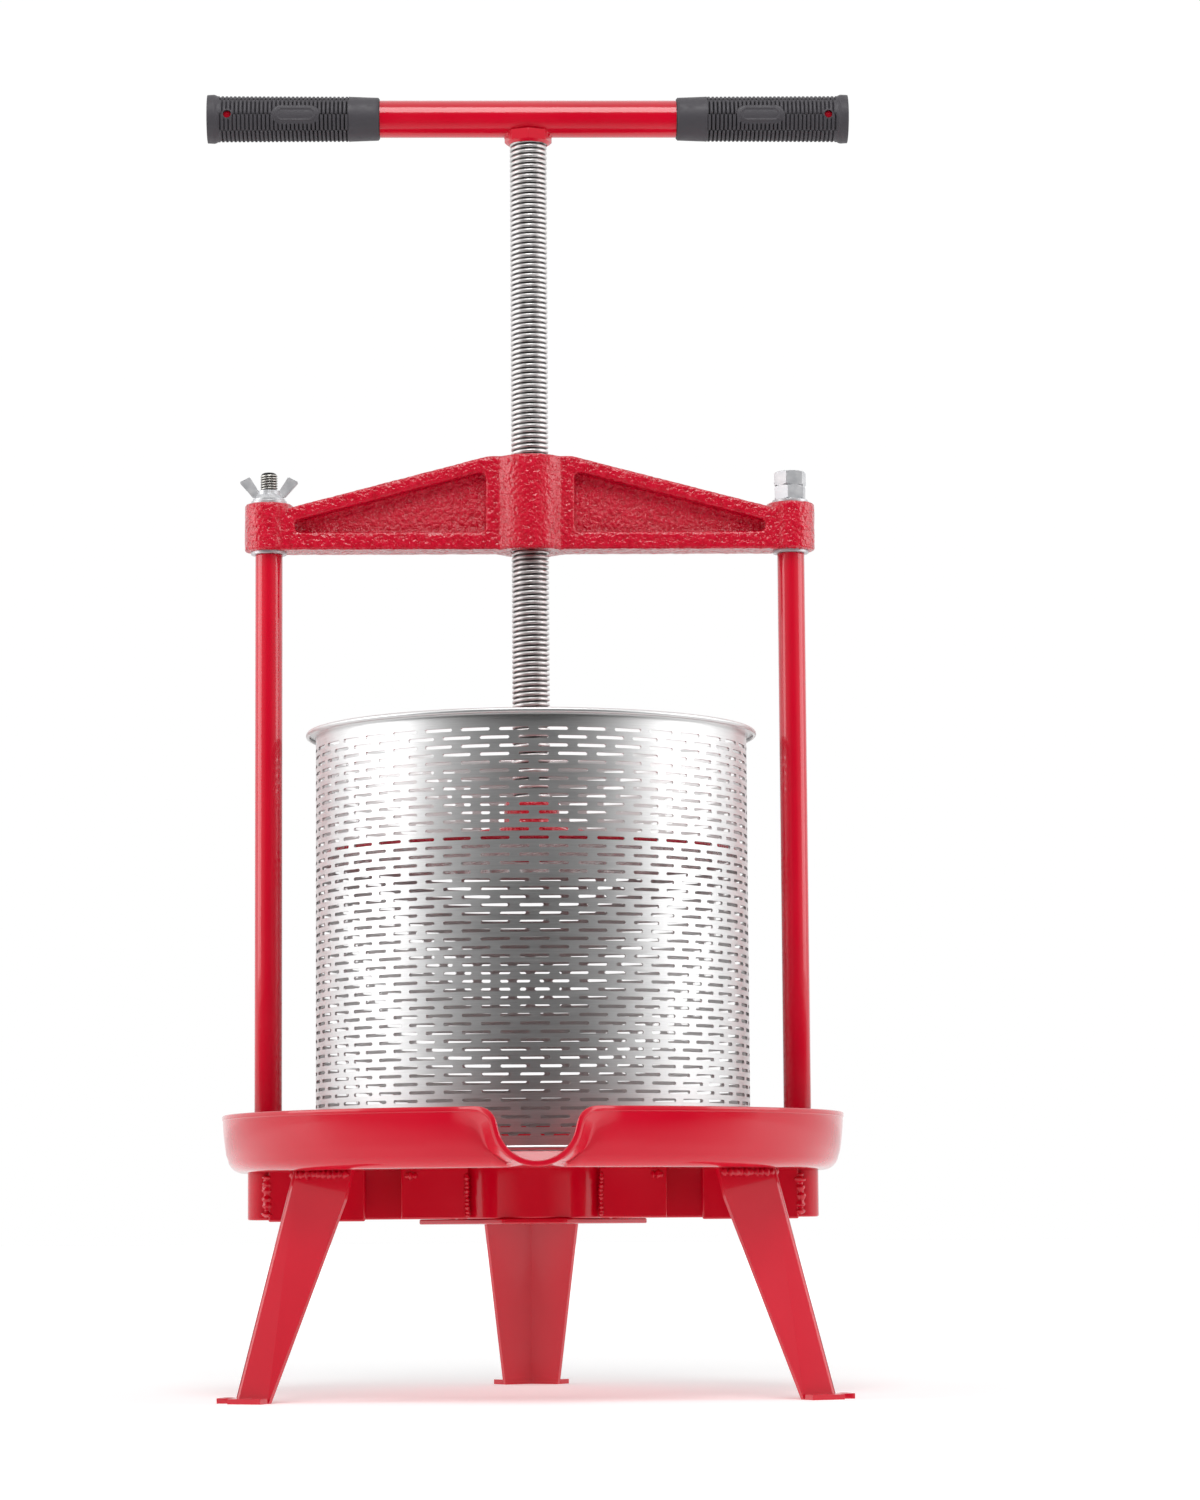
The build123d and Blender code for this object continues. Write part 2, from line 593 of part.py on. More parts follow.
# ---------------------------------------------------------------- basket
basket_inside_r = BASKET_R - BASKET_SHEET
with BuildPart() as basket:
    with BuildSketch(Plane.XZ):
        with BuildLine():
            Polyline(
                (basket_inside_r, PLATEAU_Z),
                (BEAD_R, PLATEAU_Z),
                (BEAD_R, PLATEAU_Z + BEAD_HEIGHT - BEAD_CHAMFER),
                (BASKET_R, PLATEAU_Z + BEAD_HEIGHT),
                (BASKET_R, BASKET_TOP_Z - RIM_HEIGHT),
                (RIM_R, BASKET_TOP_Z - RIM_HEIGHT + RIM_CHAMFER),
                (RIM_R, BASKET_TOP_Z - RIM_ROLL),
                (RIM_R - RIM_ROLL, BASKET_TOP_Z),
                (basket_inside_r + RIM_ROLL, BASKET_TOP_Z - RIM_CHAMFER),
                (basket_inside_r, BASKET_TOP_Z - RIM_CHAMFER - RIM_ROLL),
                close=True,
            )
        make_face()
    revolve(axis=Axis.Z)
basket.part.label = "basket"
export_step(basket.part, "parts/basket.step")

# ---------------------------------------------------------------- pressing plate
plate_top_z = PLATE_Z + PLATE_THICKNESS
with BuildPart() as pressing_plate:
    with BuildSketch(Plane.XY.offset(PLATE_Z)):
        Circle(PLATE_R)
    extrude(amount=PLATE_THICKNESS)
    chamfer(edges().filter_by(GeomType.CIRCLE), PLATE_EDGE)
    for rib in range(RIB_COUNT):
        rib_plane = Plane.XZ.rotated((0, 0, 360 * rib / RIB_COUNT)).offset(-RIB_THICKNESS / 2)
        with BuildSketch(rib_plane):
            with BuildLine():
                Polyline(
                    (PLATE_BOSS_R - RIB_ROOT, plate_top_z - RIB_ROOT),
                    (RIB_END_R, plate_top_z - RIB_ROOT),
                    (RIB_END_R, plate_top_z + RIB_END_HEIGHT),
                    (PLATE_BOSS_R - RIB_ROOT, RIB_TOP_Z),
                    close=True,
                )
            make_face()
        extrude(amount=RIB_THICKNESS)
    with BuildSketch(Plane.XY.offset(PLATE_Z)):
        Circle(PLATE_BOSS_R)
    extrude(amount=PLATE_BOSS_TOP_Z - PLATE_Z)
    for bottom_z, top_z, radius in (
        (PLATE_Z, RECESS_TOP_Z, RECESS_R),
        (RECESS_TOP_Z, SHOULDER_LEDGE_Z, SPIGOT_R + RUNNING),
        (SHOULDER_LEDGE_Z, PLATE_BOSS_TOP_Z, SCREW_R + RUNNING),
    ):
        with BuildSketch(Plane.XY.offset(bottom_z)):
            Circle(radius)
        extrude(amount=top_z - bottom_z, mode=Mode.SUBTRACT)
pressing_plate.part.label = "pressing_plate"
export_step(pressing_plate.part, "parts/pressing_plate.step")

# ---------------------------------------------------------------- screw and handle
tube_bottom_z = HANDLE_Z - TUBE_R
spigot_bottom_z = RECESS_TOP_Z - SPIGOT_PLAY
bolt_head_top_z = spigot_bottom_z - RETAINER_THICKNESS
with BuildPart() as screw:
    with BuildSketch(Plane.XZ):
        with BuildLine():
            Polyline(
                (0, spigot_bottom_z),
                (SPIGOT_R, spigot_bottom_z),
                (SPIGOT_R, SHOULDER_LEDGE_Z),
                (SCREW_R - SCREW_CHAMFER, SHOULDER_LEDGE_Z),
                (SCREW_R, SHOULDER_LEDGE_Z + SCREW_CHAMFER),
                (SCREW_R, tube_bottom_z - SEATED),
                (0, tube_bottom_z - SEATED),
                close=True,
            )
        make_face()
    revolve(axis=Axis.Z)
    with BuildSketch(Plane.XY.offset(spigot_bottom_z)):
        Circle(BOLT_R + SEATED)
    extrude(amount=BOLT_LENGTH - RETAINER_THICKNESS, mode=Mode.SUBTRACT)
screw.part.label = "screw"
export_step(screw.part, "parts/screw.step")

with BuildPart() as plate_washer:
    with BuildSketch(Plane.XY.offset(bolt_head_top_z)):
        Circle(RETAINER_R)
        Circle(BOLT_R + RETAINER_PLAY, mode=Mode.SUBTRACT)
    extrude(amount=RETAINER_THICKNESS)
plate_washer.part.label = "plate_washer"
export_step(plate_washer.part, "parts/plate_washer.step")

with BuildPart() as plate_bolt:
    with BuildSketch(Plane.XY.offset(bolt_head_top_z - BOLT_HEAD_HEIGHT)):
        RegularPolygon(BOLT_HEAD_ACROSS_FLATS / 2, 6, major_radius=False)
    extrude(amount=BOLT_HEAD_HEIGHT)
    with BuildSketch(Plane.XY.offset(bolt_head_top_z)):
        Circle(BOLT_R)
    extrude(amount=BOLT_LENGTH - BOLT_TIP_GAP)
plate_bolt.part.label = "plate_bolt"
export_step(plate_bolt.part, "parts/plate_bolt.step")

with BuildPart() as screw_collar:
    with BuildSketch(Plane.XY.offset(COLLAR_BOTTOM_Z)):
        RegularPolygon(COLLAR_R, COLLAR_SIDES)
    extrude(amount=COLLAR_TOP_Z - COLLAR_BOTTOM_Z)
    chamfer(faces().sort_by(Axis.Z)[0].edges(), COLLAR_CHAMFER)
    with BuildSketch(Plane.XY.offset(COLLAR_BOTTOM_Z)):
        Circle(SCREW_R + SEATED)
    extrude(amount=COLLAR_TOP_Z - COLLAR_BOTTOM_Z, mode=Mode.SUBTRACT)
    with BuildSketch(Plane.YZ.offset(-COLLAR_R)):
        with Locations((0, HANDLE_Z)):
            Circle(TUBE_R + SEATED)
    extrude(amount=2 * COLLAR_R, mode=Mode.SUBTRACT)
screw_collar.part.label = "screw_collar"
export_step(screw_collar.part, "parts/screw_collar.step")

tube_end_x = GRIP_OUTER_X - GRIP_CAP
with BuildPart() as handle_bar:
    with BuildSketch(Plane.YZ.offset(-tube_end_x)):
        with Locations((0, HANDLE_Z)):
            Circle(TUBE_R)
            Circle(TUBE_R - TUBE_WALL, mode=Mode.SUBTRACT)
    extrude(amount=2 * tube_end_x)
handle_bar.part.label = "handle_bar"
export_step(handle_bar.part, "parts/handle_bar.step")

grip_bore_r = TUBE_R + SEATED
for side, sign in SIDES.items():
    with BuildPart() as grip:
        with BuildSketch(Plane.XZ):
            with BuildLine():
                Polyline(
                    (sign * GRIP_INNER_X, HANDLE_Z + grip_bore_r),
                    (sign * GRIP_INNER_X, HANDLE_Z + GRIP_COLLAR_R),
                    (sign * (GRIP_INNER_X + GRIP_COLLAR_LENGTH), HANDLE_Z + GRIP_COLLAR_R),
                    (sign * (GRIP_INNER_X + GRIP_COLLAR_LENGTH), HANDLE_Z + GRIP_BODY_R),
                    (sign * (GRIP_OUTER_X - GRIP_FLANGE_LENGTH), HANDLE_Z + GRIP_BODY_R + GRIP_TAPER),
                    (sign * (GRIP_OUTER_X - GRIP_FLANGE_LENGTH + GRIP_EDGE), HANDLE_Z + GRIP_FLANGE_R),
                    (sign * (GRIP_OUTER_X - GRIP_EDGE), HANDLE_Z + GRIP_FLANGE_R),
                    (sign * GRIP_OUTER_X, HANDLE_Z + GRIP_FLANGE_R - GRIP_EDGE),
                    (sign * GRIP_OUTER_X, HANDLE_Z),
                    (sign * (tube_end_x + SEATED), HANDLE_Z),
                    (sign * (tube_end_x + SEATED), HANDLE_Z + grip_bore_r),
                    close=True,
                )
            make_face()
        revolve(axis=Axis((0, 0, HANDLE_Z), (1, 0, 0)))
        # a small hole near the end shows the tube
        with BuildSketch(Plane.XZ):
            with Locations((sign * (GRIP_OUTER_X - GRIP_HOLE_INSET), HANDLE_Z)):
                Circle(GRIP_HOLE_R)
        extrude(amount=GRIP_FLANGE_R, mode=Mode.SUBTRACT)
    grip.part.label = f"grip_{side}"
    export_step(grip.part, f"parts/grip_{side}.step")
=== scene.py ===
import json
import math

import bpy
import bmesh
from mathutils import Matrix, Vector, noise


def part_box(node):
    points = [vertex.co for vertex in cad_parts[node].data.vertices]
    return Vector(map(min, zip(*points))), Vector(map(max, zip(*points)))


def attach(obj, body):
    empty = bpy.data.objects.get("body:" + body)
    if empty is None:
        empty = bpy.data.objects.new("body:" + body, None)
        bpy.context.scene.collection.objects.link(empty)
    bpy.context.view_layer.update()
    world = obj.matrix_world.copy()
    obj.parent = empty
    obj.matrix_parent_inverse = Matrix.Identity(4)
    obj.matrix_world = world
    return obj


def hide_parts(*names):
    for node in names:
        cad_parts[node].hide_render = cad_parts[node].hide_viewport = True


# Looks of the basket wine press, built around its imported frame. Metres, +Z up, the spout points along -Y.

noise.seed_set(3)  # for the way the weld beads wander
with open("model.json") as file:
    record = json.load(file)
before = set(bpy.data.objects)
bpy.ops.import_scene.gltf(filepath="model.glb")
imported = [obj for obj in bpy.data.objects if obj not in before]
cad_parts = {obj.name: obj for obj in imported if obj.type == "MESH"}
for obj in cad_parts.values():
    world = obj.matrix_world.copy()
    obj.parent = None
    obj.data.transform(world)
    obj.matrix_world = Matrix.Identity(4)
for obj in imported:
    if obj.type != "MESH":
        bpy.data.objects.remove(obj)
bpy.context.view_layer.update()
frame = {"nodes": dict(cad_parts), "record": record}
nodes = frame["nodes"]
MM = 0.001

# -------- places read from the frame
tray_lo, tray_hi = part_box("drip_tray")
basket_lo, basket_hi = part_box("basket")
screw_lo, screw_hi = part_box("screw")
handle_lo, handle_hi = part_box("handle_bar")
COLLAR_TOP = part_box("screw_collar")[1].z
PLATE_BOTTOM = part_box("pressing_plate")[0].z
POST_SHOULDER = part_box("lower_washers")[0].z
HUB_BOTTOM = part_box("hub_tube")[0].z
HANDLE_Z = (handle_lo.z + handle_hi.z) / 2
SCREW_R = screw_hi.x
SIDES = (("left", -1), ("right", 1))


# -------- meshes
def add_piece(name, mesh, body, material, replaces=(), sharp=35):
    """Links a mesh as a piece that rides on a body and stands for the named CAD nodes."""
    piece = bpy.data.objects.new(name, mesh)
    bpy.context.scene.collection.objects.link(piece)
    for polygon in mesh.polygons:
        polygon.use_smooth = True
    mesh.set_sharp_from_angle(angle=math.radians(sharp))
    mesh.materials.clear()
    mesh.materials.append(material)
    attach(piece, body)
    if replaces:
        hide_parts(*replaces)
    return piece


WELD_DISTANCE = 0.001 * MM  # points closer than this are one point


def mesh_of(name, points, faces, thin_edges=False):
    """A welded mesh with its normals outwards; thin_edges says that edges of no length are dissolved."""
    mesh = bpy.data.meshes.new(name)
    mesh.from_pydata(points, [], faces)
    edit = bmesh.new()
    edit.from_mesh(mesh)
    bmesh.ops.remove_doubles(edit, verts=edit.verts, dist=WELD_DISTANCE)
    if thin_edges:
        bmesh.ops.dissolve_degenerate(edit, edges=edit.edges, dist=WELD_DISTANCE)
    bmesh.ops.recalc_face_normals(edit, faces=edit.faces)
    edit.to_mesh(mesh)
    edit.free()
    return mesh


def grid_faces(rows, columns, closed_rows=False, closed_columns=True, start=0):
    """Quads between rows of points that are listed row by row."""
    faces = []
    for i in range(rows if closed_rows else rows - 1):
        for j in range(columns if closed_columns else columns - 1):
            a = start + i * columns + j
            b = start + i * columns + (j + 1) % columns
            c = start + (i + 1) % rows * columns + (j + 1) % columns
            d = start + (i + 1) % rows * columns + j
            faces.append((a, b, c, d))
    return faces


def turned(name, profile, segments=96, axis="Z", centre=(0, 0, 0), closed=True):
    """A turned mesh: a profile of (radius, distance along the axis) points swept round an axis."""
    points = []
    for radius, along in profile:
        for k in range(segments):
            a = math.tau * k / segments
            across = (radius * math.cos(a), radius * math.sin(a))
            local = {"Z": (across[0], across[1], along), "X": (along, across[0], across[1])}[axis]
            points.append(tuple(local[i] + centre[i] for i in range(3)))
    return mesh_of(name, points, grid_faces(len(profile), segments, closed_rows=closed))


FLAT_WITHIN = 0.5  # degrees between faces that count as one flat face
SHARP_FROM = 38  # degrees between faces from which their edge is rounded


def clean_copy(node):
    """A CAD node's mesh, copied and welded, with the flat faces' triangles joined."""
    edit = bmesh.new()
    edit.from_mesh(nodes[node].data)
    bmesh.ops.remove_doubles(edit, verts=edit.verts, dist=2 * WELD_DISTANCE)
    bmesh.ops.dissolve_limit(
        edit,
        angle_limit=math.radians(FLAT_WITHIN),
        use_dissolve_boundaries=False,
        verts=edit.verts,
        edges=edit.edges,
    )
    mesh = bpy.data.meshes.new(node + "_copy")
    edit.to_mesh(mesh)
    edit.free()
    return mesh


def softened(node, body, material, width):
    """Stands for a CAD node: the same shape with its sharp edges rounded."""
    piece = add_piece(node + "_finished", clean_copy(node), body, material, [node], sharp=40)
    bevel = piece.modifiers.new("edges", "BEVEL")
    bevel.width = width
    bevel.segments = 3
    bevel.limit_method = "ANGLE"
    bevel.angle_limit = math.radians(SHARP_FROM)


def tube_along(name, path, radii, sides=10):
    """A tube with closed ends along a list of points, with a radius at each point."""
    points = []
    for i, at in enumerate(path):
        before, after = path[max(i - 1, 0)], path[min(i + 1, len(path) - 1)]
        along = (after - before).normalized()
        side = along.orthogonal() if i == 0 else side - along * side.dot(along)
        side.normalize()
        up = along.cross(side)
        for k in range(sides):
            a = math.tau * k / sides
            points.append(tuple(at + (side * math.cos(a) + up * math.sin(a)) * radii[i]))
    faces = grid_faces(len(path), sides)
    faces.append(tuple(range(sides)))
    faces.append(tuple(range(len(points) - 1, len(points) - 1 - sides, -1)))
    return mesh_of(name, points, faces)


# -------- materials
class Nodes:
    """Short ways to add and join the nodes of a tree."""

    def __init__(self, tree, place):
        self.tree = tree
        self.place = self.add("ShaderNodeTexCoord").outputs[place]

    def add(self, kind, settings=None, **inputs):
        made = self.tree.nodes.new(kind)
        for key, value in (settings or {}).items():
            setattr(made, key, value)
        for socket, value in inputs.items():
            self.feed(made.inputs[socket.replace("_", " ")], value)
        return made

    def feed(self, socket, value):
        if isinstance(value, bpy.types.NodeSocket):
            self.tree.links.new(value, socket)
        else:
            socket.default_value = value

    def stretched(self, x, y, z):
        return self.add("ShaderNodeMapping", Vector=self.place, Scale=(x, y, z)).outputs[0]

    def noise(self, scale, detail=3, at=None, roughness=0.5):
        made = self.add(
            "ShaderNodeTexNoise", Vector=at or self.place, Scale=scale, Detail=detail, Roughness=roughness
        )
        return made.outputs[0]

    def between(self, value, low, high, start=0.0, end=1.0):
        """A value mapped from start..end to low..high."""
        made = self.add("ShaderNodeMapRange", Value=value)
        for socket, number in (("From Min", start), ("From Max", end), ("To Min", low), ("To Max", high)):
            made.inputs[socket].default_value = number
        return made.outputs[0]

    def colours(self, value, *stops):
        """A colour ramp with (place, (r, g, b)) stops."""
        ramp = self.add("ShaderNodeValToRGB", Fac=value)
        elements = ramp.color_ramp.elements
        while len(elements) < len(stops):
            elements.new(0.5)
        for element, (place, colour) in zip(elements, stops):
            element.position = place
            element.color = (*colour, 1)
        return ramp.outputs[0]

    def places(self):
        """X, Y and Z as three values."""
        return self.add("ShaderNodeSeparateXYZ", Vector=self.place).outputs

    def distance(self, first, second):
        """The distance from an axis, from two places across it."""
        squares = self.math("ADD", self.math("MULTIPLY", first, first), self.math("POWER", second, 2.0))
        return self.math("SQRT", squares)

    def math(self, operation, *values):
        made = self.add("ShaderNodeMath", {"operation": operation})
        for socket, value in zip(made.inputs, values):
            self.feed(socket, value)
        return made.outputs[0]

    def bump(self, height, distance, strength=1.0, after=None):
        made = self.add("ShaderNodeBump", Height=height, Distance=distance, Strength=strength)
        if after:
            self.tree.links.new(after, made.inputs["Normal"])
        return made.outputs[0]


class Finish(Nodes):
    """A node material on the object's own places."""

    def __init__(self, name, **sockets):
        self.material = bpy.data.materials.new(name)
        self.material.use_nodes = True
        super().__init__(self.material.node_tree, "Object")
        self.shader = self.tree.nodes["Principled BSDF"]
        self.set(**sockets)

    def set(self, **sockets):
        for socket, value in sockets.items():
            self.feed(self.shader.inputs[socket.replace("_", " ")], value)
        return self.material


def red_paint():
    """Gloss powder coat: a deep red with faint orange peel and a slightly uneven gloss."""
    finish = Finish("red_powder_coat", Coat_Weight=0.5, Coat_Roughness=0.04, Specular_IOR_Level=0.35)
    cloud = finish.noise(9, 4)
    colour = finish.colours(cloud, (0.3, (0.55, 0.0004, 0.016)), (0.7, (0.62, 0.0008, 0.020)))
    peel = finish.bump(finish.noise(380, 2), 0.05 * MM, 0.3)
    dust = finish.bump(finish.noise(2600, 1), 0.01 * MM, 0.2, peel)
    gloss = finish.between(finish.noise(35, 4), 0.13, 0.22, 0.3, 0.7)
    return finish.set(Base_Color=colour, Roughness=gloss, Normal=dust)


POCKET_FLOOR_Y = 7 * MM  # the cross head's pockets end this far from its middle plane
POCKET_RIM_Y = 10 * MM


def red_casting():
    """The same red over a sand casting: worm-like lumps and pits, coarsest on the floors of the pockets; the
    colour paints shade in the lumps' hollows and highlight on their tops.
    """
    finish = Finish("red_cast_iron", Coat_Weight=0.7, Coat_Roughness=0.04, Specular_IOR_Level=0.3)
    lumps = finish.noise(400, 3, roughness=0.5)
    pits = finish.add("ShaderNodeTexVoronoi", Vector=finish.place, Scale=520.0).outputs[0]
    # painted shade and highlight: the colour follows the lumps' height, darker in their hollows and lighter
    # on their tops
    colour = finish.colours(
        lumps, (0.30, (0.46, 0.0005, 0.014)), (0.50, (0.56, 0.0008, 0.020)), (0.72, (0.62, 0.003, 0.028))
    )
    from_middle = finish.math("ABSOLUTE", finish.places()[1])
    coarseness = finish.between(from_middle, 1.0, 0.42, POCKET_FLOOR_Y, POCKET_RIM_Y)
    surface = finish.bump(lumps, 2.4 * MM, coarseness)
    surface = finish.bump(pits, 0.6 * MM, 0.4, surface)
    gloss = finish.between(finish.noise(180, 4), 0.16, 0.28, 0.3, 0.7)
    return finish.set(Base_Color=colour, Roughness=gloss, Normal=surface, Coat_Normal=surface)


def stainless():
    """Brushed stainless sheet: fine scratches round the cylinder and soft clouds."""
    finish = Finish("brushed_stainless", Metallic=1.0, Anisotropic=0.45)
    scratches = finish.noise(1.0, 6, finish.stretched(60, 60, 4200), 0.65)
    clouds = finish.noise(14, 4)
    fine = finish.math("MULTIPLY", scratches, 0.6)
    broad = finish.math("MULTIPLY", clouds, 0.4)
    mixed = finish.math("ADD", fine, broad)
    colour = finish.colours(mixed, (0.3, (0.57, 0.568, 0.568)), (0.7, (0.80, 0.798, 0.798)))
    surface = finish.bump(scratches, 0.03 * MM, 0.35)
    gloss = finish.between(mixed, 0.33, 0.47, 0.3, 0.7)
    return finish.set(Base_Color=colour, Roughness=gloss, Normal=surface)


def threaded_steel(name, crest_radius, root_depth, centre_x, bright, dark, rough=0.34):
    """Machined steel with painted shade in its thread roots: darker there than on its crests."""
    finish = Finish(name, Metallic=1.0)
    x, y, _ = finish.places()
    radius = finish.distance(finish.math("SUBTRACT", x, centre_x), y)
    height = finish.between(radius, 0.0, 1.0, crest_radius - root_depth, crest_radius)
    grime = finish.noise(260, 5)
    level = finish.math("ADD", height, finish.between(grime, -0.25, 0.25, 0.3, 0.7))
    # painted shade: the colour darkens towards the thread roots
    colour = finish.colours(level, (0.15, dark), (0.85, bright))
    marks = finish.noise(1.0, 4, finish.stretched(300, 300, 5200))
    surface = finish.bump(marks, 0.03 * MM, 0.4)
    gloss = finish.between(grime, rough - 0.07, rough + 0.12, 0.3, 0.7)
    return finish.set(Base_Color=colour, Roughness=gloss, Normal=surface)


def zinc():
    """Bright zinc plate with a faint blue cast and soft cloudiness."""
    finish = Finish("bright_zinc", Metallic=0.6, Specular_IOR_Level=0.5)
    cloud = finish.noise(160, 4)
    colour = finish.colours(cloud, (0.3, (0.50, 0.51, 0.53)), (0.7, (0.68, 0.68, 0.69)))
    surface = finish.bump(finish.noise(500, 3), 0.02 * MM, 0.25)
    gloss = finish.between(cloud, 0.36, 0.46, 0.3, 0.7)
    return finish.set(Base_Color=colour, Roughness=gloss, Normal=surface)


GRIP_COLLAR_R = 12.6 * MM


def rubber():
    """Dark grey moulded rubber, matt with a fine grain, and with painted shade down in its grooves."""
    finish = Finish("grip_rubber", Specular_IOR_Level=0.35)
    _, y, z = finish.places()
    radius = finish.distance(finish.math("SUBTRACT", z, HANDLE_Z), y)
    # painted shade: the colour darkens where the radius drops into the grooves and band lines
    depth = finish.between(radius, 0.0, 1.0, GRIP_COLLAR_R - 0.5 * MM, GRIP_COLLAR_R)
    cloud = finish.between(finish.noise(60, 4), -0.12, 0.12, 0.3, 0.7)
    level = finish.math("ADD", depth, cloud)
    colour = finish.colours(level, (0.1, (0.010, 0.010, 0.011)), (0.8, (0.058, 0.054, 0.062)))
    surface = finish.bump(finish.noise(2400, 3), 0.05 * MM, 0.4)
    gloss = finish.between(finish.noise(300, 3), 0.42, 0.60, 0.3, 0.7)
    return finish.set(Base_Color=colour, Roughness=gloss, Normal=surface)


RED = red_paint()
CAST = red_casting()
STAINLESS = stainless()
ZINC = zinc()
RUBBER = rubber()
# the dark colour is painted shade in the thread roots
SCREW_STEEL = threaded_steel(
    "screw_steel", SCREW_R, 1.5 * MM, 0.0, (0.72, 0.70, 0.695), (0.17, 0.163, 0.16), rough=0.42
)


# -------- camera, light and floor
VIEW_FROM = (0.0402, -2.542, 0.0918)
VIEW_TURN = -1.5  # degrees
VIEW_TILT = 6.32
VIEW_ROLL = -0.4
LENS = 104.9  # millimetres, as is the sensor's height
SENSOR = 36


def make_camera():
    """The photograph's viewpoint: a long lens, low and close to the front, looking a little up."""
    data = bpy.data.cameras.new("camera")
    data.sensor_width = SENSOR
    data.lens = LENS
    data.clip_start, data.clip_end = 0.1, 100
    camera = bpy.data.objects.new("camera", data)
    bpy.context.scene.collection.objects.link(camera)
    turn = Matrix.Rotation(math.radians(VIEW_TURN), 4, "Z")
    tilt = Matrix.Rotation(math.radians(90 + VIEW_TILT), 4, "X")
    roll = Matrix.Rotation(math.radians(VIEW_ROLL), 4, "Z")
    camera.matrix_world = turn @ Matrix.Translation(VIEW_FROM) @ tilt @ roll
    bpy.context.scene.camera = camera


# name, place, what it points at, size, watts
SOFT_LIGHTS = (
    ("left_softbox", (-2.4, -0.35, 1.05), (0, 0, 0.35), (1.6, 1.6), 20),
    ("right_softbox", (2.4, -0.35, 1.05), (0, 0, 0.35), (1.6, 1.6), 18),
    ("overhead_softbox", (0, -1.75, 2.6), (0, 0, 0.7), (1.2, 1.6), 38),
)


def soft_light(name, place, aim, size, power):
    data = bpy.data.lights.new(name, "AREA")
    data.shape = "RECTANGLE"
    data.size, data.size_y = size
    data.energy = power
    light = bpy.data.objects.new(name, data)
    light.location = place
    light.rotation_euler = (Vector(aim) - Vector(place)).to_track_quat("-Z", "Y").to_euler()
    bpy.context.scene.collection.objects.link(light)


FLOOR_R = 40
FLOOR_BOUNCE = 0.46  # what the floor gives to surfaces that scatter light
FLOOR_GLEAM = 1.1  # what it gives to surfaces that mirror its pale part
DARK_TO_Y = -1.2  # in a mirroring surface the floor is dark up to here
PALE_FROM_Y = -0.15  # and pale from here back
GLOW_FROM = 0.5  # the floor brightens into the surround between these distances
GLOW_TO = 4.0
EVEN_LIGHT = 0.31  # what the surround gives to surfaces that scatter light

# what a mirroring surface sees in the surround, from straight in front (-1) to straight behind (1)
SURROUND = ((-1.0, 0.045), (-0.94, 0.07), (-0.80, 0.36), (-0.50, 0.74), (0.15, 1.15), (1.0, 1.0))


def pale_floor():
    """Near white to the camera, an even bounce to scattering surfaces, and dark in front when mirrored."""
    pale = Finish("pale_floor", Specular_IOR_Level=0.1, Roughness=0.9)
    ray = pale.add("ShaderNodeLightPath").outputs
    seen = ray["Is Camera Ray"]
    lit = pale.math("MAXIMUM", seen, ray["Is Diffuse Ray"])
    distance = pale.add("ShaderNodeVectorMath", {"operation": "LENGTH"})
    pale.feed(distance.inputs[0], pale.place)
    mirrored = pale.between(pale.places()[1], 0.01, 0.80, DARK_TO_Y, PALE_FROM_Y)
    mottled = pale.between(pale.noise(3), 0.86, 0.88)
    paleness = pale.math("MULTIPLY", pale.math("MAXIMUM", lit, mirrored), mottled)
    glow = pale.between(distance.outputs["Value"], 0.36, 0.9, GLOW_FROM, GLOW_TO)
    bounce = pale.math("MULTIPLY", ray["Is Diffuse Ray"], FLOOR_BOUNCE)
    behind = pale.math("MULTIPLY", pale.math("POWER", mirrored, 3.0), FLOOR_GLEAM)
    gleam = pale.math("MULTIPLY", ray["Is Glossy Ray"], behind)
    shine = pale.math("ADD", pale.math("MULTIPLY", glow, seen), pale.math("ADD", bounce, gleam))
    return pale.set(Base_Color=paleness, Emission_Color=(1, 1, 1, 1), Emission_Strength=shine)


def make_floor():
    """A plain disc, wide enough to run out of sight into the surround."""
    sides = 64
    angles = [math.tau * k / sides for k in range(sides)]
    ring = [(FLOOR_R * math.cos(a), FLOOR_R * math.sin(a), 0) for a in angles]
    mesh = bpy.data.meshes.new("floor")
    mesh.from_pydata(ring, [], [tuple(range(sides))])
    mesh.materials.append(pale_floor())
    floor = bpy.data.objects.new("floor", mesh)
    bpy.context.scene.collection.objects.link(floor)


def make_surround():
    """White to the camera, even to scattering surfaces, and dark in front when mirrored, for deep reds."""
    world = bpy.data.worlds.new("surround")
    bpy.context.scene.world = world
    world.use_nodes = True
    sky = Nodes(world.node_tree, "Generated")
    behind = sky.between(sky.places()[1], 0, 1, -1, 1)
    mirrored = sky.colours(behind, *[((place + 1) / 2, (level,) * 3) for place, level in SURROUND])
    ray = sky.add("ShaderNodeLightPath").outputs
    white = sky.math("MAXIMUM", ray["Is Camera Ray"], mirrored)
    strength = sky.add("ShaderNodeMix", Factor=ray["Is Diffuse Ray"], A=white, B=EVEN_LIGHT)
    background = world.node_tree.nodes["Background"]
    sky.feed(background.inputs["Strength"], strength.outputs["Result"])
    sky.feed(background.inputs["Color"], (1, 1, 1, 1))


def make_studio():
    make_floor()
    make_surround()
    for light in SOFT_LIGHTS:
        soft_light(*light)
    bpy.context.scene.view_settings.view_transform = "Standard"


make_camera()
make_studio()


# -------- plain CAD nodes with better finishes
def finish_cad_nodes():
    """Every CAD node first gets its material; the pieces made below stand for them."""
    by_slot = {
        "red_paint": RED,
        "red_casting": CAST,
        "stainless_sheet": STAINLESS,
        "screw_steel": SCREW_STEEL,
        "zinc_plate": ZINC,
        "grip_rubber": RUBBER,
    }
    for part in frame["record"]["subparts"]:
        mesh = nodes[part["node"]].data
        mesh.materials.clear()
        mesh.materials.append(by_slot[part["material_slot"]])


finish_cad_nodes()

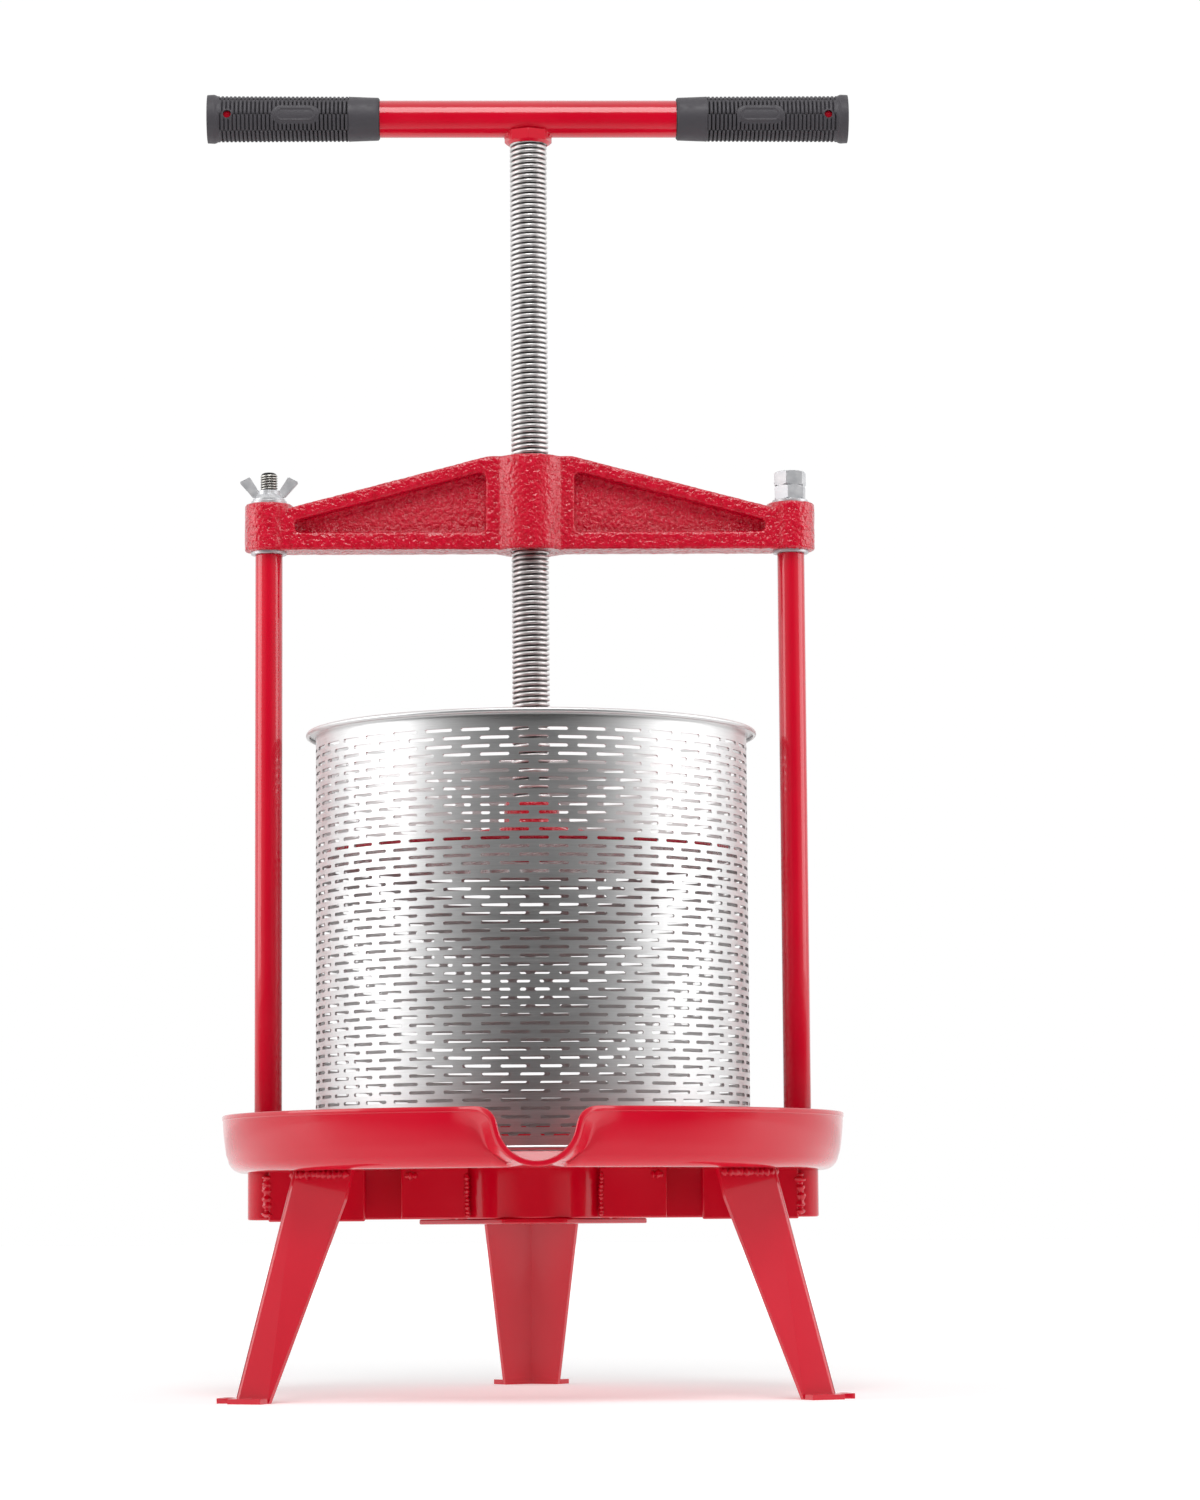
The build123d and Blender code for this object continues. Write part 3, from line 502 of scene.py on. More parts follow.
for node in ("hub_tube", "base_plate", "leg_front_left", "leg_front_right", "leg_rear"):
    softened(node, "press_frame", RED, 0.8 * MM)
for side, _ in SIDES:
    for node in ("cross_bar_", "gusset_", "doubler_", "post_socket_"):
        softened(node + side, "press_frame", RED, 1.0 * MM)
for node in ("lower_washers", "upper_washers", "hex_nuts"):
    softened(node, "press_frame", ZINC, 0.3 * MM)
softened("wing_nut", "wing_nut", ZINC, 0.5 * MM)
softened("plate_washer", "screw_and_handle", ZINC, 0.3 * MM)
softened("plate_bolt", "screw_and_handle", ZINC, 0.3 * MM)
softened("screw_collar", "screw_and_handle", RED, 0.9 * MM)


# -------- castings
COARSE_LUMPS = 260  # lumps and grains to the metre
FINE_LUMPS = 620
CAST_FULLNESS = 0.6  # puts back what the smoothing takes off, as a share of the lumps' height


def cast_piece(node, body, voxel, smoothing, lumps):
    """Stands for a cast CAD node: remeshed, with rounded edges and a lumpy skin."""
    piece = add_piece(node + "_casting", clean_copy(node), body, CAST, [node])
    remesh = piece.modifiers.new("remesh", "REMESH")
    remesh.mode = "VOXEL"
    remesh.voxel_size = voxel
    smooth = piece.modifiers.new("smooth", "SMOOTH")
    smooth.factor = 0.5
    smooth.iterations = smoothing
    graph = bpy.context.evaluated_depsgraph_get()
    made = bpy.data.meshes.new_from_object(piece.evaluated_get(graph))
    piece.modifiers.clear()
    piece.data = made
    normals = [vertex.normal.copy() for vertex in made.vertices]
    for vertex, normal in zip(made.vertices, normals):
        at = vertex.co
        coarse = noise.noise(at * COARSE_LUMPS)
        fine = noise.noise(at * FINE_LUMPS + Vector((7, 3, 1)))
        vertex.co = at + normal * lumps * (0.65 * coarse + 0.45 * fine + CAST_FULLNESS)
    made.polygons.foreach_set("use_smooth", [True] * len(made.polygons))
    made.materials.clear()
    made.materials.append(CAST)


cast_piece("cross_head", "press_frame", 1.1 * MM, 4, 0.28 * MM)
cast_piece("pressing_plate", "pressing_plate", 1.6 * MM, 2, 0.2 * MM)


# -------- screw, posts and studs
THREAD_PITCH = 3 * MM
THREAD_DEPTH = 1.6 * MM
SPIGOT_R = 6 * MM
SPIGOT_TOP = PLATE_BOTTOM + 12 * MM
STUD_R = 5 * MM
STUD_PITCH = 1.5 * MM
STUD_DEPTH = 0.85 * MM
STUD_CROWN = 2.2 * MM
CROWN_FALL = 0.6  # how much of a half circle the crown drops through
THREAD_SEGMENTS = 40

# one turn of the thread, as (share of the pitch, share of the depth)
THREAD_SHAPE = (
    (0.0, 0.0), (0.05, 0.2), (0.17, 0.92), (0.23, 1.0), (0.63, 1.0), (0.69, 0.92), (0.81, 0.2), (0.86, 0.0),
)


def rounded_bar(radius, low, high, edge):
    """The profile of a solid bar with rounded end edges."""
    angles = [math.radians(22.5 * k) for k in range(5)]
    profile = [(0, low)]
    for a in angles:
        profile.append((radius - edge + edge * math.sin(a), low + edge - edge * math.cos(a)))
    for a in angles:
        profile.append((radius - edge + edge * math.cos(a), high - edge + edge * math.sin(a)))
    return profile + [(0, high)]


def thread_radius(radius, depth, rise, z, high, crown):
    """The thread's radius at a share of its depth; crown narrows its last turns to a rounded tip."""
    r = radius - depth * (1 - rise)
    if crown and z > high - crown:
        fall = ((z - high + crown) / crown) ** 2 * CROWN_FALL
        r = min(r, radius * math.sqrt(max(1 - fall, 0)))
    return r


def thread_mesh(name, radius, depth, pitch, low, high, centre_x=0, crown=0.0):
    """A right-hand thread on a bar with closed ends."""
    turns = int((high - low) / pitch) + 2
    points, rows = [], []
    for turn in range(turns):
        for along, rise in THREAD_SHAPE:
            rows.append(range(len(points), len(points) + THREAD_SEGMENTS + 1))
            for k in range(THREAD_SEGMENTS + 1):
                z = low - pitch + pitch * (turn + along + k / THREAD_SEGMENTS)
                z = min(max(z, low), high)
                r = thread_radius(radius, depth, rise, z, high, crown)
                a = math.tau * k / THREAD_SEGMENTS
                points.append((centre_x + r * math.cos(a), r * math.sin(a), z))
    faces = []
    for below, above in zip(rows, rows[1:]):
        for k in range(THREAD_SEGMENTS):
            faces.append((below[k], below[k + 1], above[k + 1], above[k]))
    bottom, top = len(points), len(points) + 1
    points += [(centre_x, 0, low), (centre_x, 0, high)]
    for k in range(THREAD_SEGMENTS):
        faces.append((bottom, rows[0][k + 1], rows[0][k]))
        faces.append((top, rows[-1][k], rows[-1][k + 1]))
    return mesh_of(name, points, faces, thin_edges=True)


def make_screw():
    body, slot = "screw_and_handle", "screw_steel"
    thread = thread_mesh("screw_thread", SCREW_R, THREAD_DEPTH, THREAD_PITCH, SPIGOT_TOP, screw_hi.z)
    add_piece("screw_thread", thread, body, SCREW_STEEL, ["screw"], sharp=40)
    outline = rounded_bar(SPIGOT_R, screw_lo.z, SPIGOT_TOP, 0.5 * MM)
    spigot = turned("screw_spigot", outline, 48, closed=False)
    add_piece("screw_spigot", spigot, body, SCREW_STEEL, ["screw"])


def make_post(side):
    """A painted bar up to the cross head's washer, and a threaded stud above it."""
    node = "post_" + side
    lo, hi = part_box(node)
    x, radius = (lo.x + hi.x) / 2, (hi.x - lo.x) / 2
    outline = rounded_bar(radius, lo.z, POST_SHOULDER, 0.6 * MM)
    bar = turned(node + "_bar", outline, 96, centre=(x, 0, 0), closed=False)
    add_piece(node + "_bar", bar, "press_frame", RED, [node])
    name = "stud_" + side
    # painted shade: the near-black colour fills the thread roots
    bright, shaded_root = (0.50, 0.49, 0.46), (0.006, 0.006, 0.006)
    steel = threaded_steel("stud_steel_" + side, STUD_R, 0.8 * MM, x, bright, shaded_root)
    stud = thread_mesh(name, STUD_R, STUD_DEPTH, STUD_PITCH, POST_SHOULDER, hi.z, x, STUD_CROWN)
    add_piece(name, stud, "press_frame", steel, [node], sharp=40)


make_screw()
for side, _ in SIDES:
    make_post(side)


# -------- basket
RIM_OVERHANG = 5.9 * MM
BASKET_R = basket_hi.x - RIM_OVERHANG
BASKET_SHEET = 1.2 * MM
WALL_BOTTOM = basket_lo.z + 0.6 * MM
WALL_TOP = basket_hi.z - 5 * MM
SLOT_ROWS = 49
SLOTS_ROUND = 36
FIRST_ROW = basket_lo.z + 9 * MM
LAST_ROW = basket_hi.z - 11.5 * MM
ROW_PITCH = (LAST_ROW - FIRST_ROW) / (SLOT_ROWS - 1)
SLOT_HALF_LENGTH = 8.4 * MM
SLOT_HALF_HEIGHT = 0.95 * MM
CELL_STEPS = 6  # mesh columns to one slot and its land
WALL_STEPS = SLOTS_ROUND * CELL_STEPS


def slot_outline():
    """The lower half of a slot, left to right, as (across, up), with a point for each mesh column."""
    cap = SLOT_HALF_LENGTH - SLOT_HALF_HEIGHT
    low_angle = math.radians(22.5)
    end = (cap + SLOT_HALF_HEIGHT * math.cos(low_angle), -SLOT_HALF_HEIGHT * math.sin(low_angle))
    turn = (cap + 0.15 * MM, -SLOT_HALF_HEIGHT)
    third = (SLOT_HALF_LENGTH * 0.42, -SLOT_HALF_HEIGHT)
    right = [third, turn, end]
    left = [(-x, y) for x, y in reversed(right)]
    return left + [(0, -SLOT_HALF_HEIGHT)] + right


def cut_slot(row, cell, flat, faces, edges):
    """Adds one slot to the flat sheet: its outline's points, the sheet round it and its open edges."""
    shift = CELL_STEPS // 2 if row % 2 else 0
    first = cell * CELL_STEPS + shift
    below = [(row + 1) * WALL_STEPS + (first + j) % WALL_STEPS for j in range(CELL_STEPS + 1)]
    above = [index + WALL_STEPS for index in below]
    middle = FIRST_ROW + ROW_PITCH * row
    centre = math.tau * (first + CELL_STEPS / 2) / WALL_STEPS
    half = slot_outline()
    lower = list(range(len(flat), len(flat) + CELL_STEPS + 1))
    flat += [(centre + x / BASKET_R, middle + y) for x, y in half]
    upper = list(range(len(flat), len(flat) + CELL_STEPS + 1))
    flat += [(centre + x / BASKET_R, middle - y) for x, y in half]
    for j in range(CELL_STEPS):
        faces.append((below[j], below[j + 1], lower[j + 1], lower[j]))
        faces.append((upper[j], upper[j + 1], above[j + 1], above[j]))
        edges.append((lower[j], lower[j + 1]))
        edges.append((upper[j + 1], upper[j]))
    faces.append((below[0], lower[0], upper[0], above[0]))
    faces.append((lower[-1], below[-1], above[-1], upper[-1]))
    edges.append((upper[0], lower[0]))
    edges.append((lower[-1], upper[-1]))


def make_basket_wall():
    """The perforated cylinder: rows of slots, each shifted by half a slot, in sheet of real thickness."""
    levels = [WALL_BOTTOM] + [FIRST_ROW + ROW_PITCH * (i - 0.5) for i in range(SLOT_ROWS + 1)] + [WALL_TOP]
    # the sheet is laid out flat first, as (angle, height)
    flat = [(math.tau * k / WALL_STEPS, z) for z in levels for k in range(WALL_STEPS)]
    faces, edges = [], []
    for level in (0, SLOT_ROWS + 1):
        for k in range(WALL_STEPS):
            a, b = level * WALL_STEPS + k, level * WALL_STEPS + (k + 1) % WALL_STEPS
            faces.append((a, b, b + WALL_STEPS, a + WALL_STEPS))
    for row in range(SLOT_ROWS):
        for cell in range(SLOTS_ROUND):
            cut_slot(row, cell, flat, faces, edges)
    count = len(flat)
    points = []
    for radius in (BASKET_R, BASKET_R - BASKET_SHEET):
        points += [(radius * math.cos(a), radius * math.sin(a), z) for a, z in flat]
    skins = faces + [tuple(index + count for index in reversed(face)) for face in faces]
    walls = [(b, a, a + count, b + count) for a, b in edges]
    mesh = bpy.data.meshes.new("basket_wall")
    mesh.from_pydata(points, [], skins + walls)
    add_piece("basket_wall", mesh, "basket", STAINLESS, ["basket"], sharp=40)


def thickened(path, thickness):
    """A closed profile round both sides of a line of (radius, height) points."""
    outer, inner = [], []
    for i, (r, z) in enumerate(path):
        (r0, z0), (r1, z1) = path[max(i - 1, 0)], path[min(i + 1, len(path) - 1)]
        length = math.hypot(r1 - r0, z1 - z0)
        nr, nz = (z1 - z0) / length * thickness / 2, -(r1 - r0) / length * thickness / 2
        outer.append((r + nr, z + nz))
        inner.append((r - nr, z - nz))
    return outer + inner[::-1]


RIM_FLARE_R = 3.6 * MM
RIM_FLARE_FROM = 4.4 * MM  # below the basket's top
RIM_CURL_R = 1.0 * MM
HEM_Z = basket_lo.z + 1.4 * MM
HEM_HALF_WIDTH = 0.78 * MM
HEM_HALF_HEIGHT = 1.35 * MM
ROUND_SEGMENTS = 216


def make_basket_rim():
    """The rim, flared outwards and curled at its edge."""
    middle = BASKET_R - BASKET_SHEET / 2
    top = basket_hi.z
    flare = [(middle, top - 6 * MM), (middle, top - 4.6 * MM)]
    for k in range(1, 9):
        a = math.radians(88 * k / 8)
        across = middle + RIM_FLARE_R * (1 - math.cos(a))
        flare.append((across, top - RIM_FLARE_FROM + RIM_FLARE_R * math.sin(a)))
    curl_x = basket_hi.x - RIM_CURL_R - 0.65 * MM
    curl_z = flare[-1][1] - RIM_CURL_R
    for k in range(9):
        a = math.radians(90 - 25 * k)
        flare.append((curl_x + RIM_CURL_R * math.cos(a), curl_z + RIM_CURL_R * math.sin(a)))
    rim = turned("basket_rim", thickened(flare, BASKET_SHEET * 0.95), ROUND_SEGMENTS)
    add_piece("basket_rim", rim, "basket", STAINLESS, ["basket"], sharp=50)


def make_basket_hem():
    """The hem round the bottom, an oval bead."""
    oval = []
    for k in range(12):
        a = math.tau * k / 12
        across = BASKET_R + HEM_HALF_WIDTH * math.cos(a) - 0.1 * MM
        oval.append((across, HEM_Z + HEM_HALF_HEIGHT * math.sin(a)))
    hem = turned("basket_hem", oval, ROUND_SEGMENTS)
    add_piece("basket_hem", hem, "basket", STAINLESS, ["basket"], sharp=50)


make_basket_wall()
make_basket_rim()
make_basket_hem()


# -------- drip tray
def smooth_step(value):
    value = min(max(value, 0), 1)
    return value * value * (3 - 2 * value)


TRAY_SHEET = 2.5 * MM
LIP_BEAD = 1.6 * MM
LIP_R = tray_hi.x - LIP_BEAD
LIP_Z = tray_hi.z - LIP_BEAD
FLOOR_Z = tray_lo.z + 1.55 * MM
WALL_HEIGHT = LIP_Z - FLOOR_Z
PLATEAU_Z = basket_lo.z - TRAY_SHEET / 2
PLATEAU_EDGE = 130.5 * MM
CORNER_R = LIP_R - 3.9 * MM
CORNER_CUT = 6.5 * MM  # where the floor bends up into the wall, how much of each the bend takes
FOLD_CUT = 4 * MM  # the same where the wall folds out into the spout
WALL_BULGE = 0.8 * MM  # how far the wall's middle stands out from a straight line
SHOULDER_ABOVE_MIDDLE = 7 * MM
WALL_COLUMNS = 150  # from the spout round to the back, on each side
SPOUT_R = 22.8 * MM
SPOUT_SWEEP = 85
SPOUT_FLARE = 8.6 * MM
SPOUT_FUNNEL = 1.27  # how much wider the spout is where it leaves the wall
SPOUT_DROP = 2.2 * MM  # how far below its lip the spout leaves the wall
SPOUT_DROP_HIGH = 3 * MM  # and how much more than that at the top
TONGUE_END = -tray_lo.y - LIP_BEAD
TONGUE_HALF = 42 * MM
LIP_STEP = 2.2 * MM  # between points along the lip beside the spout

# across the channel from the plateau, as (mm from the plateau's edge, share of the drop to the floor)
PLATEAU_STEP = ((-34, 0), (-6, 0), (-4, 0.06), (-2, 0.5), (0, 0.94), (2, 1), (12, 1))


def spout_lip():
    """The spout's lip from its middle to the tray's round lip, as (across, height) points."""
    centre_z = FLOOR_Z + SPOUT_R
    line = []
    for k in range(18):
        a = math.radians(SPOUT_SWEEP * k / 17)
        line.append((SPOUT_R * math.sin(a), centre_z - SPOUT_R * math.cos(a)))
    end_x, end_z = line[-1]
    flare_x = end_x + SPOUT_FLARE
    for k in range(1, 9):
        a = math.radians(90 - 90 * k / 8)
        line.append((flare_x - SPOUT_FLARE * math.sin(a), end_z + (LIP_Z - end_z) * math.cos(a)))
    x = flare_x
    while x < TONGUE_HALF + 14 * MM:
        x += LIP_STEP
        line.append((x, LIP_Z))
    return line


def wall_point(x, z):
    """A point of the round wall's middle surface, on its spout side."""
    rise = (z - FLOOR_Z) / WALL_HEIGHT
    radius = CORNER_R + (LIP_R - CORNER_R) * rise
    return Vector((x, -math.sqrt(radius ** 2 - x ** 2), z))


def spout_column(x, z):
    """The wall's corner, shoulder and lip where the spout's lip passes (x, z)."""
    reach = max(1 - (x / TONGUE_HALF) ** 2, 0) * (TONGUE_END - LIP_R)
    lip = Vector((x, -math.sqrt(LIP_R ** 2 - x ** 2) - reach, z))
    inwards = smooth_step((TONGUE_HALF - x) / (TONGUE_HALF - SPOUT_R))
    funnel = 1 + (SPOUT_FUNNEL - 1) * inwards
    drop = SPOUT_DROP + SPOUT_DROP_HIGH * (z - FLOOR_Z) / WALL_HEIGHT
    shoulder = wall_point(x * funnel, max(z - drop, FLOOR_Z))
    return wall_point(x * funnel, FLOOR_Z), shoulder, lip


def round_column(angle):
    """The wall's corner, shoulder and lip at an angle round the tray, away from the spout."""
    out = Vector((math.cos(angle), math.sin(angle), 0))
    corner = out * CORNER_R + Vector((0, 0, FLOOR_Z))
    lip = out * LIP_R + Vector((0, 0, LIP_Z))
    return corner, corner.lerp(lip, 0.5 + SHOULDER_ABOVE_MIDDLE / WALL_HEIGHT), lip


def tray_columns():
    """(corner, shoulder, lip) of every column of the tray wall, once round from the spout's middle."""
    columns = [spout_column(x, z) for x, z in spout_lip()]
    last = columns[-1][2]
    start = math.atan2(last.y, last.x)
    for k in range(1, WALL_COLUMNS + 1):
        columns.append(round_column(start + (math.pi / 2 - start) * k / WALL_COLUMNS))
    mirror = Vector((-1, 1, 1))
    other = [tuple(point * mirror for point in column) for column in reversed(columns[1:-1])]
    return columns + other


def eased(line, rounds, keep):
    """A closed line of points, smoothed except where keep says so."""
    for _ in range(rounds):
        count = len(line)
        ends = [line[i - 1] + line[(i + 1) % count] for i in range(count)]
        line = [at if keep(at) else at * 0.5 + both * 0.25 for at, both in zip(line, ends)]
    return line


def rounded_turn(before, corner, after, cut, count):
    """Points round a corner of a polyline that is cut back by the same length on both sides."""
    inward, onward = (before - corner).normalized(), (after - corner).normalized()
    start, end = corner + inward * cut, corner + onward * cut
    first, second = start - inward * cut * 0.55, end - onward * cut * 0.55
    points = []
    for k in range(count):
        t = k / (count - 1)
        a, b, c = start.lerp(first, t), first.lerp(second, t), second.lerp(end, t)
        points.append(a.lerp(b, t).lerp(b.lerp(c, t), t))
    return points


def tray_profile(corner, shoulder, lip):
    """One column of the sheet's middle surface, from the plateau's edge over the floor and up to the lip."""
    out = Vector((corner.x, corner.y, 0)).normalized()
    line = []
    for along, drop in PLATEAU_STEP:
        z = PLATEAU_Z + (FLOOR_Z - PLATEAU_Z) * drop
        line.append(out * (PLATEAU_EDGE + along * MM) + Vector((0, 0, z)))
    floor_end = line[-1]
    folded = (shoulder - corner).length > 2 * MM
    over = shoulder if folded else lip
    bend = rounded_turn(floor_end, corner, over, min(CORNER_CUT, 0.8 * (over - corner).length), 12)
    line += [floor_end.lerp(bend[0], k / 5) for k in range(1, 5)]
    line += bend
    wall_from = len(line)
    if folded:
        room = min((shoulder - bend[-1]).length, (lip - shoulder).length)
        fold = rounded_turn(bend[-1], shoulder, lip, min(FOLD_CUT, 0.45 * room), 7)
    else:
        fold = [bend[-1].lerp(lip, (k + 4) / 14) for k in range(7)]
    line += [bend[-1].lerp(fold[0], k / 4) for k in range(1, 4)]
    line += fold
    line += [fold[-1].lerp(lip, k / 4) for k in range(1, 5)]
    height = max(lip.z - corner.z, 0.1 * MM)
    bulge = WALL_BULGE * (height / WALL_HEIGHT) ** 2
    for point in line[wall_from:]:
        t = min(max((point.z - corner.z) / height, 0), 1)
        point += out * bulge * 4 * t * (1 - t)
    return line


def on_plain_wall(point):
    """True where the wall is plain and round, so that easing leaves it alone."""
    return point.y > 0 or abs(point.x) > TONGUE_HALF + 12 * MM


def make_tray_sheet(corners, shoulders, lips):
    rows = [tray_profile(*column) for column in zip(corners, shoulders, lips)]
    across = len(rows[0])
    points = [tuple(point) for row in rows for point in row]
    faces = grid_faces(len(rows), across, closed_rows=True, closed_columns=False)
    centre = len(points)
    points.append((0, 0, PLATEAU_Z))
    for i in range(len(rows)):
        faces.append((centre, i * across, (i + 1) % len(rows) * across))
    mesh = mesh_of("tray_sheet", points, faces)
    sheet = add_piece("tray_sheet", mesh, "press_frame", RED, ["drip_tray"])
    solid = sheet.modifiers.new("sheet", "SOLIDIFY")
    solid.thickness = TRAY_SHEET
    solid.offset = 0


def make_tray_lip(lips):
    """The lip's bead: its section is a square with rounded corners, as a folded sheet edge is."""
    sides = 20
    bead = []
    for i, at in enumerate(lips):
        along = (lips[(i + 1) % len(lips)] - lips[i - 1]).normalized()
        out = Vector((at.x, at.y, 0)).normalized()
        side = (out - along * out.dot(along)).normalized()
        up = along.cross(side)
        for k in range(sides):
            a = math.tau * k / sides
            reach = LIP_BEAD / (math.cos(a) ** 4 + math.sin(a) ** 4) ** 0.25
            bead.append(tuple(at + (side * math.cos(a) + up * math.sin(a)) * reach))
    mesh = mesh_of("tray_lip", bead, grid_faces(len(lips), sides, closed_rows=True))
    add_piece("tray_lip", mesh, "press_frame", RED, ["drip_tray"])


def make_tray():
    columns = tray_columns()
    corners = eased([column[0] for column in columns], 10, on_plain_wall)
    shoulders = eased([column[1] for column in columns], 10, on_plain_wall)
    lips = eased([column[2] for column in columns], 6, on_plain_wall)
    make_tray_sheet(corners, shoulders, lips)
    make_tray_lip(lips)


make_tray()


# -------- handle and grips
# distances along a grip are from its inner end
COLLAR_LENGTH = 17 * MM
COLLAR_FLARE = 0.6 * MM
COLLAR_EDGE = 0.9 * MM
FLANGE_LENGTH = 6 * MM
FLANGE_R = 13.4 * MM
FLANGE_SWELL = 1.05 * MM
RIB_R = 13.3 * MM
RIB_ROOT_R = 13.2 * MM
RIB_TAPER = 0.3 * MM
RIB_PITCH = 2.45 * MM
GROOVE_HALF = 0.55 * MM
GROOVE_DEPTH = 1.3 * MM
BANDS = 8  # strips of ribs round the grip, each shifted by half a rib
BAND_LINE_HALF = 0.6 * MM
BAND_LINE_DEPTH = 0.9 * MM
PAD_AT = 49.7 * MM
PAD_HALF_LENGTH = 12 * MM
PAD_HALF_HEIGHT = 4 * MM
PAD_MARGIN = 2.3 * MM
PAD_DEPTH = 0.45 * MM
HOLE_AT = 90 * MM
HOLE_R = 2.4 * MM
HOLE_ROUND_R = 13.5 * MM  # the radius on which the hole is round
HOLE_SNAP = 0.36 * MM  # mesh points this close to the hole's edge are moved onto it
TUBE_R = 11 * MM
TUBE_WALL = 2 * MM
TUBE_EDGE = 0.4 * MM
GRIP_SEGMENTS = 144
END_SHRINK = 0.9  # the flat end face against the flange round it


def rib_cut(s, band_place, base, length):
    """How far the ribs have faded in at a distance s, and how deep they're cut in the band there."""
    band = math.floor(band_place)
    to_line = abs(band_place - round(band_place)) * math.tau / BANDS * base
    lengthwise = 1 - smooth_step(to_line / BAND_LINE_HALF)
    phase = (s - COLLAR_LENGTH) / RIB_PITCH + 0.5 * (band % 2)
    to_groove = abs(phase - round(phase)) * RIB_PITCH
    groove = 1 - smooth_step((to_groove - 0.15 * MM) / GROOVE_HALF)
    from_ends = min(s - COLLAR_LENGTH - 1.2 * MM, length - FLANGE_LENGTH - 1.0 * MM - s)
    fade = smooth_step(from_ends / (0.5 * MM))
    return fade, max(groove * GROOVE_DEPTH, lengthwise * BAND_LINE_DEPTH)


def grip_radius(s, angle, length):
    """The grip's radius at a distance s from its inner end and an angle up from the front."""
    if s < COLLAR_LENGTH:
        collar = GRIP_COLLAR_R + COLLAR_FLARE * s / COLLAR_LENGTH
        return collar - COLLAR_EDGE * (1 - smooth_step(s / COLLAR_EDGE))
    if s > length - FLANGE_LENGTH:
        t = (s - length + FLANGE_LENGTH) / FLANGE_LENGTH
        return FLANGE_R + FLANGE_SWELL * math.sin(math.pi * min(t * 1.25, 0.5 + 0.25 * t)) ** 0.7
    base = RIB_R + RIB_TAPER * (s - COLLAR_LENGTH) / (length - COLLAR_LENGTH)
    rise = smooth_step((s - COLLAR_LENGTH) / (0.7 * MM))
    base = RIB_ROOT_R + (base - RIB_ROOT_R) * rise
    bent = math.remainder(angle, math.tau)
    v = bent * base
    from_pad = math.hypot(max(abs(s - PAD_AT) - (PAD_HALF_LENGTH - PAD_HALF_HEIGHT), 0), v) - PAD_HALF_HEIGHT
    if from_pad < PAD_MARGIN:
        ridge = PAD_DEPTH * (1 - smooth_step(abs(from_pad + 0.4 * MM) / (0.8 * MM)))
        return base - PAD_DEPTH + ridge
    fade, depth = rib_cut(s, bent / (math.tau / BANDS), base, length)
    from_hole = math.hypot(s - HOLE_AT, v) - HOLE_R
    fade *= smooth_step((from_hole - 0.5 * MM) / (0.8 * MM))
    return base - fade * depth


def steps(low, high, step):
    """Places from low up to high, by a fixed step."""
    places = []
    while low < high:
        places.append(low)
        low += step
    return places


def grip_stations(length):
    """Distances along the grip at which its mesh has a ring, closest over the ribs and at the ends."""
    stations = [0.0, 0.15 * MM, 0.35 * MM, 0.6 * MM, 0.9 * MM]
    stations += steps(3 * MM, COLLAR_LENGTH - 0.1 * MM, 2 * MM)
    stations += steps(COLLAR_LENGTH, length - FLANGE_LENGTH, RIB_PITCH / 8)
    return stations + [length - FLANGE_LENGTH * (1 - k / 12) for k in range(13)]


def grip_skin(name, start, sign, length):
    """The grip's outer skin as an open tube with its hole cut out; it runs from start towards sign."""
    stations = grip_stations(length)
    points, opening = [], set()
    for s in stations:
        for k in range(GRIP_SEGMENTS):
            angle = math.tau * k / GRIP_SEGMENTS
            place, turn = s, angle
            v = math.remainder(angle, math.tau) * HOLE_ROUND_R
            away = math.hypot(s - HOLE_AT, v)
            if abs(away - HOLE_R) < HOLE_SNAP:
                place = HOLE_AT + (s - HOLE_AT) * HOLE_R / away
                turn = v * HOLE_R / away / HOLE_ROUND_R
            if away < HOLE_R - 0.3 * MM:
                opening.add(len(points))
            r = grip_radius(place, turn, length)
            points.append((start + sign * place, -r * math.cos(turn), HANDLE_Z + r * math.sin(turn)))
    faces = grid_faces(len(stations), GRIP_SEGMENTS)
    kept = [face for face in faces if not any(index in opening for index in face)]
    mesh = bpy.data.meshes.new(name)
    mesh.from_pydata(points, [], kept)
    return mesh


def open_edges(edit, start, length):
    """A grip skin's open edges: round its inner end, round its outer end, and round its hole."""
    inner, outer, hole = [], [], []
    for edge in edit.edges:
        if not edge.is_boundary:
            continue
        along = abs((edge.verts[0].co.x + edge.verts[1].co.x) / 2 - start)
        if along < 0.01 * MM:
            inner.append(edge)
        elif along > length - 0.01 * MM:
            outer.append(edge)
        else:
            hole.append(edge)
    return inner, outer, hole


def extruded(edit, edges):
    """Puts a face on each of the open edges, and returns the new points, always in the same order."""
    copies = {}
    for edge in edges:
        for vertex in edge.verts:
            if vertex not in copies:
                copies[vertex] = edit.verts.new(vertex.co)
        a, b = edge.verts
        edit.faces.new((a, b, copies[b], copies[a]))
    return list(copies.values())


def drop_to_tube(edit, edges):
    """Pulls open edges in towards the handle's axis, until they are just inside its tube."""
    radius = TUBE_R - 0.2 * MM
    for vertex in extruded(edit, edges):
        y, z = vertex.co.y, vertex.co.z - HANDLE_Z
        now = math.hypot(y, z)
        vertex.co.y = y * radius / now
        vertex.co.z = HANDLE_Z + z * radius / now


def close_end(edit, edges):
    """Closes the grip's outer end with a flat face inside a narrow bevel."""
    ring = extruded(edit, edges)
    for vertex in ring:
        vertex.co.y *= END_SHRINK
        vertex.co.z = HANDLE_Z + (vertex.co.z - HANDLE_Z) * END_SHRINK
    ring.sort(key=lambda vertex: math.atan2(vertex.co.z - HANDLE_Z, vertex.co.y))
    edit.faces.new(ring)


